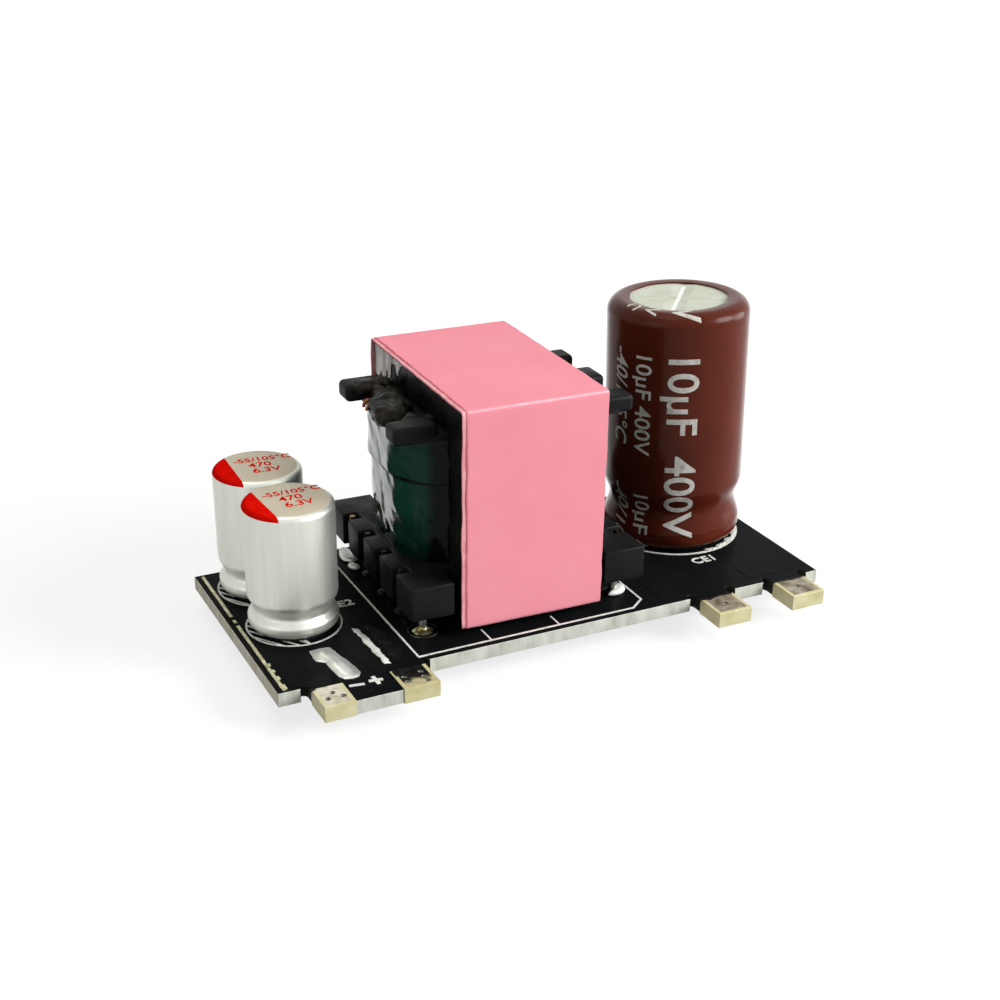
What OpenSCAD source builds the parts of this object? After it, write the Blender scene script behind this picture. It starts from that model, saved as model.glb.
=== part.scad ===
// Open-frame mains power supply module: a black board that stands on solder tabs, with an isolating
// transformer in the middle, two output capacitors on the left and one input capacitor on the right.
// Millimetres. X runs along the board, Y from the tabs to the back edge, Z up from the lead tips.

/* [Board] */
// Thickness of the laminate
board_t = 1.0; // [0.8:0.1:1.6]
// Bare board in front of the transformer
board_front_margin = 1.6; // [1.2:0.1:4]
// Bare board behind the transformer
board_back_margin = 0.05; // [0.05:0.05:3]
// Length of the trimmed leads below the board
lead_drop = 1.6; // [1.5:0.1:3]
// Clearance between a lead and its hole, all round
hole_clearance = 0.1; // [0.05:0.05:0.2]

/* [Tabs] */
// How far every tab stands out from the front edge
tab_len = 2.9; // [2.5:0.1:5]
// Width of the output tab
output_tab_w = 7.9; // [7.5:0.1:10]
// Distance of the output tab from the left end
output_tab_inset = 2.15; // [1.5:0.05:4]
// Width of each input tab
input_tab_w = 2.6; // [2:0.1:3.5]
// Pitch of the two input tabs
input_tab_pitch = 6.3; // [5:0.1:8]
// Distance of the neutral tab from the right end
input_tab_inset = 1.6; // [1:0.1:3]
// Width of the relief notch beside a tab
relief_w = 0.6; // [0.4:0.1:1]
// Depth of the relief notch into the board
relief_depth = 0.7; // [0.6:0.1:1.2]

/* [Pads] */
// Thickness of the plating on the tabs
pad_t = 0.06; // [0.04:0.01:0.12]
// Width of the negative pad
negative_pad_w = 2.1; // [1.8:0.1:2.6]
// Width of the positive pad
positive_pad_w = 2.5; // [2:0.1:3]
// Bare tab left between a pad and the front edge of the board
pad_root = 0.45; // [0.2:0.05:1]
// Bore of the vias in the pads
via_d = 0.4; // [0.3:0.05:0.5]
// Thickness of the tinned copper on the top side
tin_t = 0.12; // [0.06:0.02:0.2]
// Distance of the edge track from the board's edges
edge_track_inset = 0.3; // [0.2:0.05:0.5]
// Width of the edge track
edge_track_w = 0.36; // [0.25:0.01:0.45]
// Number of dashes in the front half of the edge track
edge_dashes = 8; // [4:1:12]
// Width of the open negative patch
patch_w = 1.45; // [1:0.05:2]
// Sideways step of the negative patch at half its length
patch_step = 0.6; // [0.2:0.05:0.8]
// Gap from the negative patch to the front can
patch_gap = 1.0; // [0.5:0.05:1.5]
// Width of the open positive bar
bar_w = 0.45; // [0.3:0.05:0.6]
// Gap from the positive bar to the side of the cans
bar_gap = 0.25; // [0.2:0.05:0.5]
// Bare board in front of the positive bar
bar_inset = 0.85; // [0.5:0.05:1.5]

/* [Output capacitors] */
// Diameter of each can
cap_d = 6.3; // [5:0.1:7.2]
// Height of each can above the board
cap_h = 9.4; // [7:0.1:14]
// Gap between the two cans
cap_gap = 0.1; // [0.1:0.1:1]
// Gap from the left end of the board to the cans
cap_end_gap = 1.05; // [1:0.05:3]
// Gap from the cans to the transformer rails
transformer_gap = 3.2; // [3:0.05:6]
// Gap from the rear can to the back edge of the board
cap_back_gap = 0.35; // [0.2:0.05:0.8]
// Height of the rubber bung below the can
cap_lift = 0.3; // [0.2:0.05:0.6]
// Height of the crimp groove above the can's foot
cap_groove_z = 1.35; // [1.2:0.05:2]
// Depth of the crimp groove
cap_groove_depth = 0.38; // [0.2:0.02:0.5]
// Half height of the crimp groove
cap_groove_half = 0.6; // [0.4:0.05:0.7]
// Radius of the can's top edge
cap_top_r = 0.45; // [0.3:0.05:0.8]
// Wall left around the bung
cap_wall = 0.5; // [0.4:0.05:0.7]
// Diameter of the capacitor leads
cap_lead_d = 0.5; // [0.4:0.05:0.7]
// Spacing of the two leads
cap_lead_pitch = 2.5; // [2:0.1:3]

/* [Input capacitor] */
// Diameter of the can without its sleeve
input_cap_d = 10.2; // [8:0.1:12]
// Height of the can above the board
input_cap_h = 18.5; // [14:0.5:25]
// Thickness of the shrink sleeve
sleeve_t = 0.16; // [0.1:0.02:0.3]
// Width of the sleeve's fold over the can top
sleeve_fold = 1.5; // [1.2:0.1:2.5]
// Gap from the transformer rails to the sleeve
input_cap_gap = 2.75; // [2:0.05:5]
// Gap from the sleeve to the right end of the board
input_cap_end_gap = 0.65; // [0.3:0.05:3]
// Gap from the sleeve to the back edge of the board
input_cap_back_gap = 1.85; // [0.5:0.05:3]
// Height of the rubber bung below the can
input_cap_lift = 0.4; // [0.3:0.05:0.8]
// Height of the crimp groove above the can's foot
input_cap_groove_z = 2.9; // [2.4:0.1:3.6]
// Depth of the crimp groove
input_cap_groove_depth = 0.45; // [0.3:0.05:0.6]
// Half height of the crimp groove
input_cap_groove_half = 1.3; // [0.9:0.1:1.6]
// Radius of the can's top edge
input_cap_top_r = 0.9; // [0.6:0.05:1.2]
// Wall left around the bung
input_cap_wall = 0.75; // [0.65:0.05:1]
// Diameter of the leads
input_cap_lead_d = 0.6; // [0.5:0.05:0.8]
// Spacing of the two leads
input_cap_lead_pitch = 5; // [3.5:0.5:5]
// Width of the vent scores
vent_w = 0.22; // [0.15:0.01:0.4]
// Depth of the vent scores
vent_depth = 0.1; // [0.05:0.01:0.2]
// Length of each vent score
vent_l = 6; // [4:0.1:6.6]

/* [Transformer core] */
// Turn of the whole transformer on the board, clockwise from above, in degrees
transformer_turn = 1.8; // [0:0.1:2]
// Thickness of the ferrite along the board
core_t = 10.2; // [8:0.1:13]
// Width of the ferrite across the board
core_w = 16.25; // [15.5:0.05:18]
// Height of the two halves together
core_h = 15.25; // [13:0.05:18]
// Thickness of each outer leg
core_leg = 2.4; // [2:0.05:3]
// Thickness of each yoke
core_yoke = 2.05; // [2:0.05:3]
// Width of the middle leg
core_middle = 4.6; // [3.5:0.05:5.2]
// Gap between the two middle legs
core_gap = 0.3; // [0.1:0.05:0.8]
// Thickness of the tape band round the core
band_t = 0.3; // [0.15:0.05:0.5]
// How far the band stands past the ferrite on each side
band_overhang = 0.2; // [0.1:0.05:0.3]
// Height of the band above the board
band_lift = 0.5; // [0.4:0.05:1]
// Corner radius of the band
band_r = 0.6; // [0.5:0.05:1]

/* [Bobbin] */
// Wall of the bobbin tube
tube_wall = 0.7; // [0.5:0.05:1]
// Clearance between the bobbin and the ferrite
core_clearance = 0.15; // [0.1:0.05:0.25]
// Thickness of the lower flange
low_flange_t = 1.15; // [0.9:0.05:1.4]
// Thickness of the top flange
top_flange_t = 0.5; // [0.4:0.05:0.9]
// Gap between the flanges and the outer legs
flange_gap = 0.2; // [0.15:0.05:0.4]
// How far the rails and lugs stand past the winding
rail_margin = 1.0; // [0.6:0.01:1.2]
// Gap between a rail and the ferrite face
rail_gap = 0.6; // [0.35:0.05:0.8]
// Gap from the rail ends to the outside of the tape band
rail_end_gap = 0.3; // [0.1:0.05:0.8]
// Height of the rail's underside above the board
rail_lift = 1.7; // [1.4:0.05:2]
// Width of the wire slots
slot_w = 1.0; // [0.8:0.05:1.2]
// Depth of the wire slots
slot_depth = 1.1; // [0.9:0.05:1.2]
// Height of the top lugs above the flange
lug_h = 0.75; // [0.6:0.05:1.5]
// Width of the top lugs at the ends
lug_w = 1.9; // [1.5:0.05:2.2]
// Width of the middle top lug
middle_lug_w = 2.4; // [1.5:0.05:3]
// Corner radius of rails and lugs
moulding_r = 0.25; // [0.15:0.05:0.4]
// Width of the standing feet under the rails
foot_w = 0.8; // [0.6:0.05:0.9]

/* [Windings] */
// Share of the copper that is in the inner winding
inner_share = 0.52; // [0.3:0.01:0.7]
// Build of the insulation tape
insulation_build = 0.1; // [0.05:0.05:0.2]
// Build of the cover tape
cover_build = 0.2; // [0.1:0.05:0.3]
// Gap between the cover tape and the outer legs
winding_gap = 0.25; // [0.15:0.05:0.4]
// Extra build at the two round ends, as a share of the side build, below zero where they are drawn in
end_bulge = -0.16; // [-0.2:0.01:0.2]
// Growth of the corner radius with the build
corner_growth = 1.45; // [1:0.05:1.6]
// Diameter of the winding lead-outs
wire_d = 0.42; // [0.25:0.01:0.5]

/* [Transformer pins] */
// Number of pins in each rail
pin_count = 5; // [3:1:5]
// Distance of the end pins from the rail ends
pin_end_gap = 1.7; // [1:0.05:2.2]
// Diameter of the pins
pin_d = 0.65; // [0.5:0.05:0.8]
// Distance of the pins from the outer face of the rail
pin_inset = 1.5; // [1.45:0.05:1.7]
// Depth of the pins in the rail
pin_depth = 1.4; // [1:0.05:1.6]
// Height of the wire ends wound on a pin
wrap_h = 0.8; // [0.5:0.05:0.85]
// Turns of wire on a pin
wrap_turns = 3; // [2:1:5]

/* [Solder] */
// Foot radius of a solder joint beyond its lead
solder_foot = 0.6; // [0.4:0.05:0.75]
// Height of a solder joint under the board
solder_h = 0.9; // [0.6:0.05:1.2]
// Tip radius of a solder joint beyond its lead
solder_tip = 0.1; // [0.05:0.05:0.2]
// Foot radius of the top fillet beyond its pin
fillet_foot = 0.8; // [0.5:0.05:0.9]
// Height of the solder fillet round a pin on the top
fillet_h = 0.45; // [0.3:0.05:0.6]

/* [Underside parts] */
// Height of the tallest chip body
chip_h = 1.3; // [1:0.05:1.45]
// Draft of the chip bodies on each side
chip_draft = 0.15; // [0.1:0.05:0.3]
// Height of the leads where they leave a chip body
chip_exit = 0.65; // [0.5:0.05:0.8]
// Depth of the leads in a chip body
chip_root = 0.3; // [0.2:0.05:0.5]
// Length of the level lead before its bend
chip_shoulder = 0.35; // [0.25:0.05:0.5]
// Thickness of the chip leads
chip_lead_t = 0.2; // [0.15:0.05:0.25]
// Standoff of the chip bodies
chip_lift = 0.1; // [0.05:0.05:0.2]
// Reach of the bent leads beyond the body
chip_reach = 1.0; // [0.8:0.05:1.2]
// Length of the bridge rectifier body
bridge_l = 5.0; // [4.4:0.1:5.4]
// Width of the bridge rectifier body
bridge_w = 4.2; // [3.6:0.1:4.6]
// Pitch of the bridge rectifier leads
bridge_pitch = 2.6; // [2.2:0.1:3]
// Width of the bridge rectifier leads
bridge_lead_w = 0.9; // [0.7:0.05:1.1]
// Distance of the bridge rectifier's middle from the front edge
bridge_inset = 4.6; // [4.2:0.1:5.2]
// Length of the control chip body
control_l = 4.9; // [4.4:0.1:5.4]
// Width of the control chip body
control_w = 3.9; // [3.4:0.1:4.2]
// Pitch of the chip leads
control_pitch = 1.27; // [1.1:0.01:1.27]
// Width of the chip leads
control_lead_w = 0.42; // [0.3:0.02:0.5]
// Length of the output rectifier body
rectifier_l = 3.4; // [3:0.1:3.8]
// Pitch of the output rectifier leads
rectifier_pitch = 0.85; // [0.7:0.05:0.95]
// Length of the clamp diode body
diode_l = 4.2; // [3.8:0.1:4.6]
// Width of the clamp diode body
diode_w = 2.6; // [2.2:0.1:2.9]
// Width of the clamp diode leads
diode_lead_w = 1.4; // [1.2:0.1:1.6]
// Length of the small chip parts
small_l = 2.0; // [1.6:0.1:2.2]
// Width of the small chip parts
small_w = 1.25; // [0.8:0.05:1.4]
// Height of the small chip parts
small_h = 0.55; // [0.4:0.05:0.8]
// Length of the end caps on the small chip parts
small_cap = 0.4; // [0.3:0.05:0.5]
// Gap from the chip resistors to the back edge of the board
resistor_back_gap = 1.4; // [1:0.1:2]
// Gap between neighbouring small chip parts
small_gap = 0.9; // [0.5:0.1:1.2]

/* [Hidden] */
$fn = 48;
// Cutters run past the faces they open by this much
past = 0.5;

// Transformer sizes, from its own middle on the board's top face
core_z0 = band_lift + band_t;
core_z1 = core_z0 + core_h;
core_split = (core_z0 + core_z1) / 2;
band_w = core_t + 2 * band_overhang;
band_y = core_w + 2 * band_t;
window_w = (core_w - 2 * core_leg - core_middle) / 2;
tube_half_x = core_t / 2 + core_clearance + tube_wall;
tube_half_y = core_middle / 2 + core_clearance + tube_wall;
flange_half_y = core_middle / 2 + window_w - flange_gap;
build_4 = window_w - core_clearance - tube_wall - winding_gap;
build_3 = build_4 - cover_build;
build_1 = (build_3 - insulation_build) * inner_share;
build_2 = build_1 + insulation_build;
winding_half_x = tube_half_x + build_4 * (1 + end_bulge);
rail_half_x = winding_half_x + rail_margin;
rail_inner_x = core_t / 2 + rail_gap;
rail_l = band_y - 2 * rail_end_gap;
low_flange_z = core_z0 + core_yoke + core_clearance;
low_flange_top = low_flange_z + low_flange_t;
high_flange_top = core_z1 - core_yoke - core_clearance;
high_flange_z = high_flange_top - top_flange_t;
pin_x = rail_half_x - pin_inset;
pin_pitch = (rail_l - 2 * pin_end_gap) / (pin_count - 1);
pin_rows = [for (i = [0 : pin_count - 1]) (i - (pin_count - 1) / 2) * pin_pitch];
slot_rows = [for (i = [0 : pin_count - 2]) (i - (pin_count - 2) / 2) * pin_pitch];
end_lug_y = flange_half_y - lug_w / 2;
lugs = [[-end_lug_y, lug_w], [0, middle_lug_w], [end_lug_y, lug_w]];
lug_space = end_lug_y - lug_w / 2 - middle_lug_w / 2;
lug_space_y = (middle_lug_w + lug_space) / 2;
foot_y = slot_rows[0];

// Layout on the board, from its front left corner
sleeved_d = input_cap_d + 2 * sleeve_t;
board_w = board_front_margin + band_y + board_back_margin;
cap_x = cap_end_gap + cap_d / 2;
rear_cap_y = board_w - cap_back_gap - cap_d / 2;
front_cap_y = rear_cap_y - cap_gap - cap_d;
transformer_x = cap_x + cap_d / 2 + transformer_gap + rail_half_x;
transformer_y = board_front_margin + band_y / 2;
turned_y = band_y * cos(transformer_turn) + band_w * sin(transformer_turn);
module_back = max(board_w, transformer_y + turned_y / 2);
input_cap_x = transformer_x + rail_half_x + input_cap_gap + sleeved_d / 2;
input_cap_y = board_w - input_cap_back_gap - sleeved_d / 2;
board_l = input_cap_x + sleeved_d / 2 + input_cap_end_gap;
neutral_x = board_l - input_tab_inset - input_tab_w;
live_x = neutral_x - input_tab_pitch;
positive_x = output_tab_inset + output_tab_w - positive_pad_w;
lead_end = -board_t - lead_drop;

// Leads through the board: place and diameter
cap_leads = [
    for (y = [front_cap_y, rear_cap_y])
        for (s = [-1, 1])
            [cap_x + s * cap_lead_pitch / 2, y, cap_lead_d]
];
input_leads = [
    for (s = [-1, 1])
        [input_cap_x + s * input_cap_lead_pitch / 2, input_cap_y, input_cap_lead_d]
];
pin_leads = [
    for (s = [-1, 1])
        for (y = pin_rows)
            [
                transformer_x + s * pin_x * cos(transformer_turn) + y * sin(transformer_turn),
                transformer_y - s * pin_x * sin(transformer_turn) + y * cos(transformer_turn),
                pin_d
            ]
];
through_leads = concat(cap_leads, input_leads, pin_leads);

// Vias in the tab pads, spread evenly between the root and the tip of a pad
pad_mid_y = -(tab_len + pad_root) / 2;
via_row = (tab_len - pad_root) / 4;
negative_vias = [
    for (i = [-1 : 1])
        [output_tab_inset + negative_pad_w * (i + 2) / 4, pad_mid_y + (i == 0 ? via_row : -via_row) / 2]
];
positive_vias = [
    for (i = [-1 : 1])
        for (j = [-1, 1])
            [positive_x + positive_pad_w * (2 + j) / 4, pad_mid_y + i * via_row - j * via_d / 2]
];
live_vias = [[live_x + input_tab_w / 2, pad_mid_y]];
neutral_vias = [[neutral_x + input_tab_w / 2, pad_mid_y]];

// Underside places, each in the clear between the leads beside it
rectifier_x = (cap_x + cap_lead_pitch / 2 + transformer_x - pin_x) / 2;
rectifier_y = (front_cap_y + rear_cap_y) / 2;
resistor_y = board_w - resistor_back_gap - small_w / 2;
diode_y = resistor_y - small_w / 2 - small_gap - diode_w / 2;
control_y = diode_y - diode_w / 2 - small_gap - control_w / 2 - chip_reach;
chip_capacitor_y = rectifier_y - control_w / 2 - chip_reach - small_gap - small_w / 2;

// Moves a piece from the board's front left corner to the middle of the whole module
module on_board() {
    translate([-board_l / 2, -(module_back - tab_len - pad_t) / 2, board_t + lead_drop])
        children();
}

module at_transformer() {
    on_board()
        translate([transformer_x, transformer_y, 0])
            rotate([0, 0, -transformer_turn])
                children();
}

module under_board(x, y, turn) {
    on_board()
        translate([x, y, -board_t])
            mirror([0, 0, 1])
                rotate([0, 0, turn])
                    children();
}

// Flat outline with true round corners, from its middle
module rounded(l, w, r) {
    square([l - 2 * r, w], center = true);
    square([l, w - 2 * r], center = true);
    for (sx = [-1, 1])
        for (sy = [-1, 1])
            translate([sx * (l / 2 - r), sy * (w / 2 - r)])
                circle(r);
}

// Board
module relief(x) {
    translate([x, relief_depth - relief_w / 2])
        circle(d = relief_w);
    translate([x - relief_w / 2, -past])
        square([relief_w, relief_depth - relief_w / 2 + past]);
}

module board_outline() {
    difference() {
        union() {
            square([board_l, board_w]);
            translate([output_tab_inset, -tab_len])
                square([output_tab_w, tab_len + past]);
            for (x = [live_x, neutral_x])
                translate([x, -tab_len])
                    square([input_tab_w, tab_len + past]);
        }
        relief(output_tab_inset - relief_w / 2);
        relief(output_tab_inset + output_tab_w + relief_w / 2);
        for (x = [live_x, neutral_x]) {
            relief(x - relief_w / 2);
            relief(x + input_tab_w + relief_w / 2);
        }
    }
}

module circuit_board() {
    color([0.03, 0.03, 0.035])
        on_board()
            translate([0, 0, -board_t])
                linear_extrude(board_t)
                    difference() {
                        board_outline();
                        for (p = through_leads)
                            translate([p[0], p[1]])
                                circle(d = p[2] + 2 * hole_clearance);
                        for (p = concat(negative_vias, positive_vias, live_vias, neutral_vias))
                            translate(p)
                                circle(d = via_d);
                    }
}

// Plating folded round a tab: over, in front, under, and down the sides that it reaches
module wrap(x, w, left, right, vias) {
    color([0.93, 0.87, 0.66])
        on_board()
            difference() {
                translate([x - left * pad_t, -tab_len - pad_t, -board_t - pad_t])
                    cube([w + (left + right) * pad_t, tab_len + pad_t - pad_root, board_t + 2 * pad_t]);
                translate([x - (1 - left) * past, -tab_len, -board_t])
                    cube([w + (2 - left - right) * past, tab_len + past, board_t]);
                for (p = vias)
                    translate([p[0], p[1], -board_t - past])
                        cylinder(h = board_t + 2 * past, d = via_d);
            }
}

module negative_pad() {
    wrap(output_tab_inset, negative_pad_w, 1, 0, negative_vias);
}

module positive_pad() {
    wrap(positive_x, positive_pad_w, 0, 1, positive_vias);
}

module live_pad() {
    wrap(live_x, input_tab_w, 1, 1, live_vias);
}

module neutral_pad() {
    wrap(neutral_x, input_tab_w, 1, 1, neutral_vias);
}

// Tinned copper left open on the top: a dashed edge track, a stepped negative patch and a positive bar
module tinned_tracks() {
    track_l = board_w / 2 - edge_track_inset;
    dash_pitch = track_l / edge_dashes;
    patch_l = front_cap_y - cap_d / 2 - patch_gap;
    patch_x = output_tab_inset + negative_pad_w;
    bar_x = cap_x + cap_d / 2 + bar_gap;
    color([0.85, 0.85, 0.8])
        on_board()
            linear_extrude(tin_t) {
                translate([edge_track_inset, board_w / 2])
                    square([edge_track_w, track_l]);
                for (i = [0 : edge_dashes - 1])
                    translate([edge_track_inset, edge_track_inset + i * dash_pitch])
                        square([edge_track_w, dash_pitch / 2]);
                translate([patch_x, 0])
                    square([patch_w, patch_l * 0.65]);
                translate([patch_x - patch_step, patch_l * 0.6])
                    square([patch_w, patch_l * 0.4]);
                translate([bar_x, bar_inset])
                    square([bar_w, front_cap_y - cap_d / 2 + bar_gap - bar_inset]);
            }
}

// Capacitor parts, standing on the board's top face
function arc(cx, cz, r, a0, a1, n) =
    [for (i = [0 : n]) [cx + r * cos(a0 + (a1 - a0) * i / n), cz + r * sin(a0 + (a1 - a0) * i / n)]];

// Half section of a crimped can: a rounded foot, a soft groove and a rounded top edge
function can_section(r, z0, z1, foot_r, top_r, groove_z, groove_half, groove_depth) = concat(
    [[0, z0]],
    arc(r - foot_r, z0 + foot_r, foot_r, -90, 0, 6),
    [
        for (s = [-1 : 1 / 7 : 1])
            [r - groove_depth * (1 + cos(180 * s)) / 2, z0 + groove_z + groove_half * s]
    ],
    arc(r - top_r, z1 - top_r, top_r, 0, 90, 7),
    [[0, z1]]
);

module lead_pair(places, top) {
    color([0.8, 0.8, 0.78])
        on_board()
            for (p = places)
                translate([p[0], p[1], lead_end])
                    cylinder(h = top - lead_end, d = p[2]);
}

module bung(x, y, d, h, places) {
    color([0.06, 0.06, 0.06])
        on_board()
            difference() {
                translate([x, y, 0])
                    cylinder(h = h, d = d);
                for (p = places)
                    translate([p[0], p[1], -past])
                        cylinder(h = h + 2 * past, d = p[2]);
            }
}

cap_bung_d = cap_d - 2 * cap_wall;
cap_bung_h = cap_lift + cap_groove_z - cap_groove_half;

module output_can(y) {
    color([0.78, 0.79, 0.77])
        on_board()
            translate([cap_x, y, 0])
                difference() {
                    rotate_extrude()
                        polygon(can_section(cap_d / 2, cap_lift, cap_h, cap_wall / 2, cap_top_r,
                            cap_groove_z, cap_groove_half, cap_groove_depth));
                    translate([0, 0, -past])
                        cylinder(h = cap_bung_h + past, d = cap_bung_d);
                }
}

module front_output_capacitor_can() {
    output_can(front_cap_y);
}

module rear_output_capacitor_can() {
    output_can(rear_cap_y);
}

module front_output_capacitor_bung() {
    bung(cap_x, front_cap_y, cap_bung_d, cap_bung_h, [cap_leads[0], cap_leads[1]]);
}

module rear_output_capacitor_bung() {
    bung(cap_x, rear_cap_y, cap_bung_d, cap_bung_h, [cap_leads[2], cap_leads[3]]);
}

module front_output_capacitor_leads() {
    lead_pair([cap_leads[0], cap_leads[1]], cap_bung_h);
}

module rear_output_capacitor_leads() {
    lead_pair([cap_leads[2], cap_leads[3]], cap_bung_h);
}

input_bung_d = input_cap_d - 2 * input_cap_wall;
input_bung_h = input_cap_lift + input_cap_groove_z - input_cap_groove_half;

module input_can_body(grow) {
    rotate_extrude()
        polygon(can_section(input_cap_d / 2 + grow, input_cap_lift - grow, input_cap_h + grow,
            input_cap_wall / 2 + grow, input_cap_top_r + grow,
            input_cap_groove_z + grow, input_cap_groove_half, input_cap_groove_depth));
}

module input_capacitor_can() {
    color([0.8, 0.8, 0.78])
        on_board()
            translate([input_cap_x, input_cap_y, 0])
                difference() {
                    input_can_body(0);
                    translate([0, 0, -past])
                        cylinder(h = input_bung_h + past, d = input_bung_d);
                    for (turn = [45, 135])
                        translate([0, 0, input_cap_h - vent_depth])
                            rotate([0, 0, turn])
                                translate([-vent_l / 2, -vent_w / 2, 0])
                                    cube([vent_l, vent_w, vent_depth + past]);
                }
}

module input_capacitor_sleeve() {
    color([0.3, 0.1, 0.06])
        on_board()
            translate([input_cap_x, input_cap_y, 0])
                difference() {
                    input_can_body(sleeve_t);
                    input_can_body(0);
                    translate([0, 0, input_cap_h - past])
                        cylinder(h = 2 * past, d = input_cap_d - 2 * sleeve_fold);
                    translate([0, 0, input_cap_lift - past])
                        cylinder(h = 2 * past, d = input_bung_d);
                }
}

module input_capacitor_bung() {
    bung(input_cap_x, input_cap_y, input_bung_d, input_bung_h, input_leads);
}

module input_capacitor_leads() {
    lead_pair(input_leads, input_bung_h);
}

// Ferrite halves: a yoke with two outer legs and a shorter middle leg
module core_section(z0, z1, split) {
    difference() {
        translate([-core_w / 2, min(z0, split)])
            square([core_w, abs(split - z0)]);
        for (s = [-1, 1])
            translate([s * (core_middle + window_w) / 2 - window_w / 2, z1 > split ? split - past : z1])
                square([window_w, abs(split - z1) + past]);
        translate([-core_middle / 2 - past, split - core_gap / 2])
            square([core_middle + 2 * past, core_gap]);
    }
}

module core_half(z0, z1) {
    color([0.09, 0.09, 0.1])
        at_transformer()
            translate([-core_t / 2, 0, 0])
                rotate([90, 0, 90])
                    linear_extrude(core_t)
                        core_section(z0, z1, core_split);
}

module core_lower_half() {
    core_half(core_z0, core_z0 + core_yoke);
}

module core_upper_half() {
    core_half(core_z1, core_z1 - core_yoke);
}

module core_band() {
    color([0.95, 0.55, 0.62])
        at_transformer()
            translate([-band_w / 2, 0, core_split])
                rotate([90, 0, 90])
                    linear_extrude(band_w)
                        difference() {
                            rounded(core_w + 2 * band_t, core_h + 2 * band_t, band_r);
                            square([core_w, core_h], center = true);
                        }
}

// Bobbin: tube, two flanges, two slotted pin rails on feet and the lugs of the top flange
module rail_outline() {
    difference() {
        translate([(rail_inner_x + rail_half_x) / 2, 0])
            rounded(rail_half_x - rail_inner_x, rail_l, moulding_r);
        for (y = slot_rows)
            translate([rail_half_x - slot_depth, y - slot_w / 2])
                square([slot_depth + past, slot_w]);
    }
}

module top_flange_outline() {
    difference() {
        rounded(2 * rail_half_x, 2 * flange_half_y, moulding_r);
        for (s = [-1, 1])
            for (y = [-lug_space_y, lug_space_y])
                translate([s * (rail_half_x - slot_depth / 2 + past / 2), y])
                    square([slot_depth + past, lug_space], center = true);
    }
}

module bobbin() {
    color([0.12, 0.12, 0.13])
        at_transformer()
            difference() {
                union() {
                    translate([0, 0, low_flange_z])
                        linear_extrude(high_flange_top - low_flange_z)
                            rounded(2 * tube_half_x, 2 * tube_half_y, tube_wall);
                    translate([-rail_inner_x - tube_wall, -flange_half_y, low_flange_z])
                        cube([2 * (rail_inner_x + tube_wall), 2 * flange_half_y, low_flange_t]);
                    translate([0, 0, high_flange_z])
                        linear_extrude(top_flange_t)
                            top_flange_outline();
                    for (turn = [0, 180])
                        rotate([0, 0, turn]) {
                            translate([0, 0, rail_lift])
                                linear_extrude(low_flange_top - rail_lift)
                                    rail_outline();
                            for (lug = lugs)
                                translate([(rail_inner_x + rail_half_x) / 2, lug[0], high_flange_z])
                                    linear_extrude(top_flange_t + lug_h)
                                        rounded(rail_half_x - rail_inner_x, lug[1], moulding_r);
                            for (s = [-1, 1])
                                translate([rail_inner_x, s * foot_y - foot_w / 2, 0])
                                    cube([foot_w, foot_w, rail_lift + past]);
                        }
                }
                translate([0, 0, core_z0])
                    linear_extrude(core_h)
                        square([core_t + 2 * core_clearance, core_middle + 2 * core_clearance],
                            center = true);
                for (s = [-1, 1])
                    for (y = pin_rows)
                        translate([s * pin_x, y, rail_lift - past])
                            cylinder(h = pin_depth + past, d = pin_d);
            }
}

// Windings: nested rings between the flanges
module winding_outline(build) {
    half_x = tube_half_x + build * (1 + end_bulge);
    half_y = tube_half_y + build;
    rounded(2 * half_x, 2 * half_y, tube_wall + build * corner_growth);
}

module winding(from, to) {
    at_transformer()
        translate([0, 0, low_flange_top])
            linear_extrude(high_flange_z - low_flange_top)
                difference() {
                    winding_outline(to);
                    winding_outline(from);
                }
}

module inner_winding() {
    color([0.72, 0.36, 0.16])
        winding(0, build_1);
}

module insulation_tape() {
    color([0.9, 0.75, 0.3])
        winding(build_1, build_2);
}

module outer_winding() {
    color([0.75, 0.4, 0.18])
        winding(build_2, build_3);
}

module cover_tape() {
    color([0.03, 0.14, 0.1])
        winding(build_3, build_4);
}

// Pins, the wire ends wound on them and the lead-outs that come down the rail slots
module transformer_pin(i) {
    color([0.82, 0.82, 0.8])
        on_board()
            translate([pin_leads[i][0], pin_leads[i][1], lead_end])
                cylinder(h = rail_lift + pin_depth - lead_end, d = pin_d);
}

wrap_z = rail_lift - wrap_h;
turn_r = wrap_h / wrap_turns / 2;

module pin_wraps() {
    color([0.8, 0.79, 0.75])
        on_board()
            for (p = pin_leads)
                translate([p[0], p[1], wrap_z])
                    difference() {
                        rotate_extrude() {
                            square([pin_d / 2 + turn_r, wrap_h]);
                            for (k = [0 : wrap_turns - 1])
                                translate([pin_d / 2 + turn_r, turn_r * (2 * k + 1)])
                                    circle(turn_r, $fn = 16);
                        }
                        translate([0, 0, -past])
                            cylinder(h = wrap_h + 2 * past, d = pin_d);
                    }
}

// Round wire through a list of points that share the plane of the slot
wire_sides = 12;
function wire_ring(c, d, u) =
    let (v = cross(d, u))
        [
            for (k = [0 : wire_sides - 1])
                let (a = 360 * k / wire_sides)
                    c + wire_d / 2 * (cos(a) * u + sin(a) * v)
        ];

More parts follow.
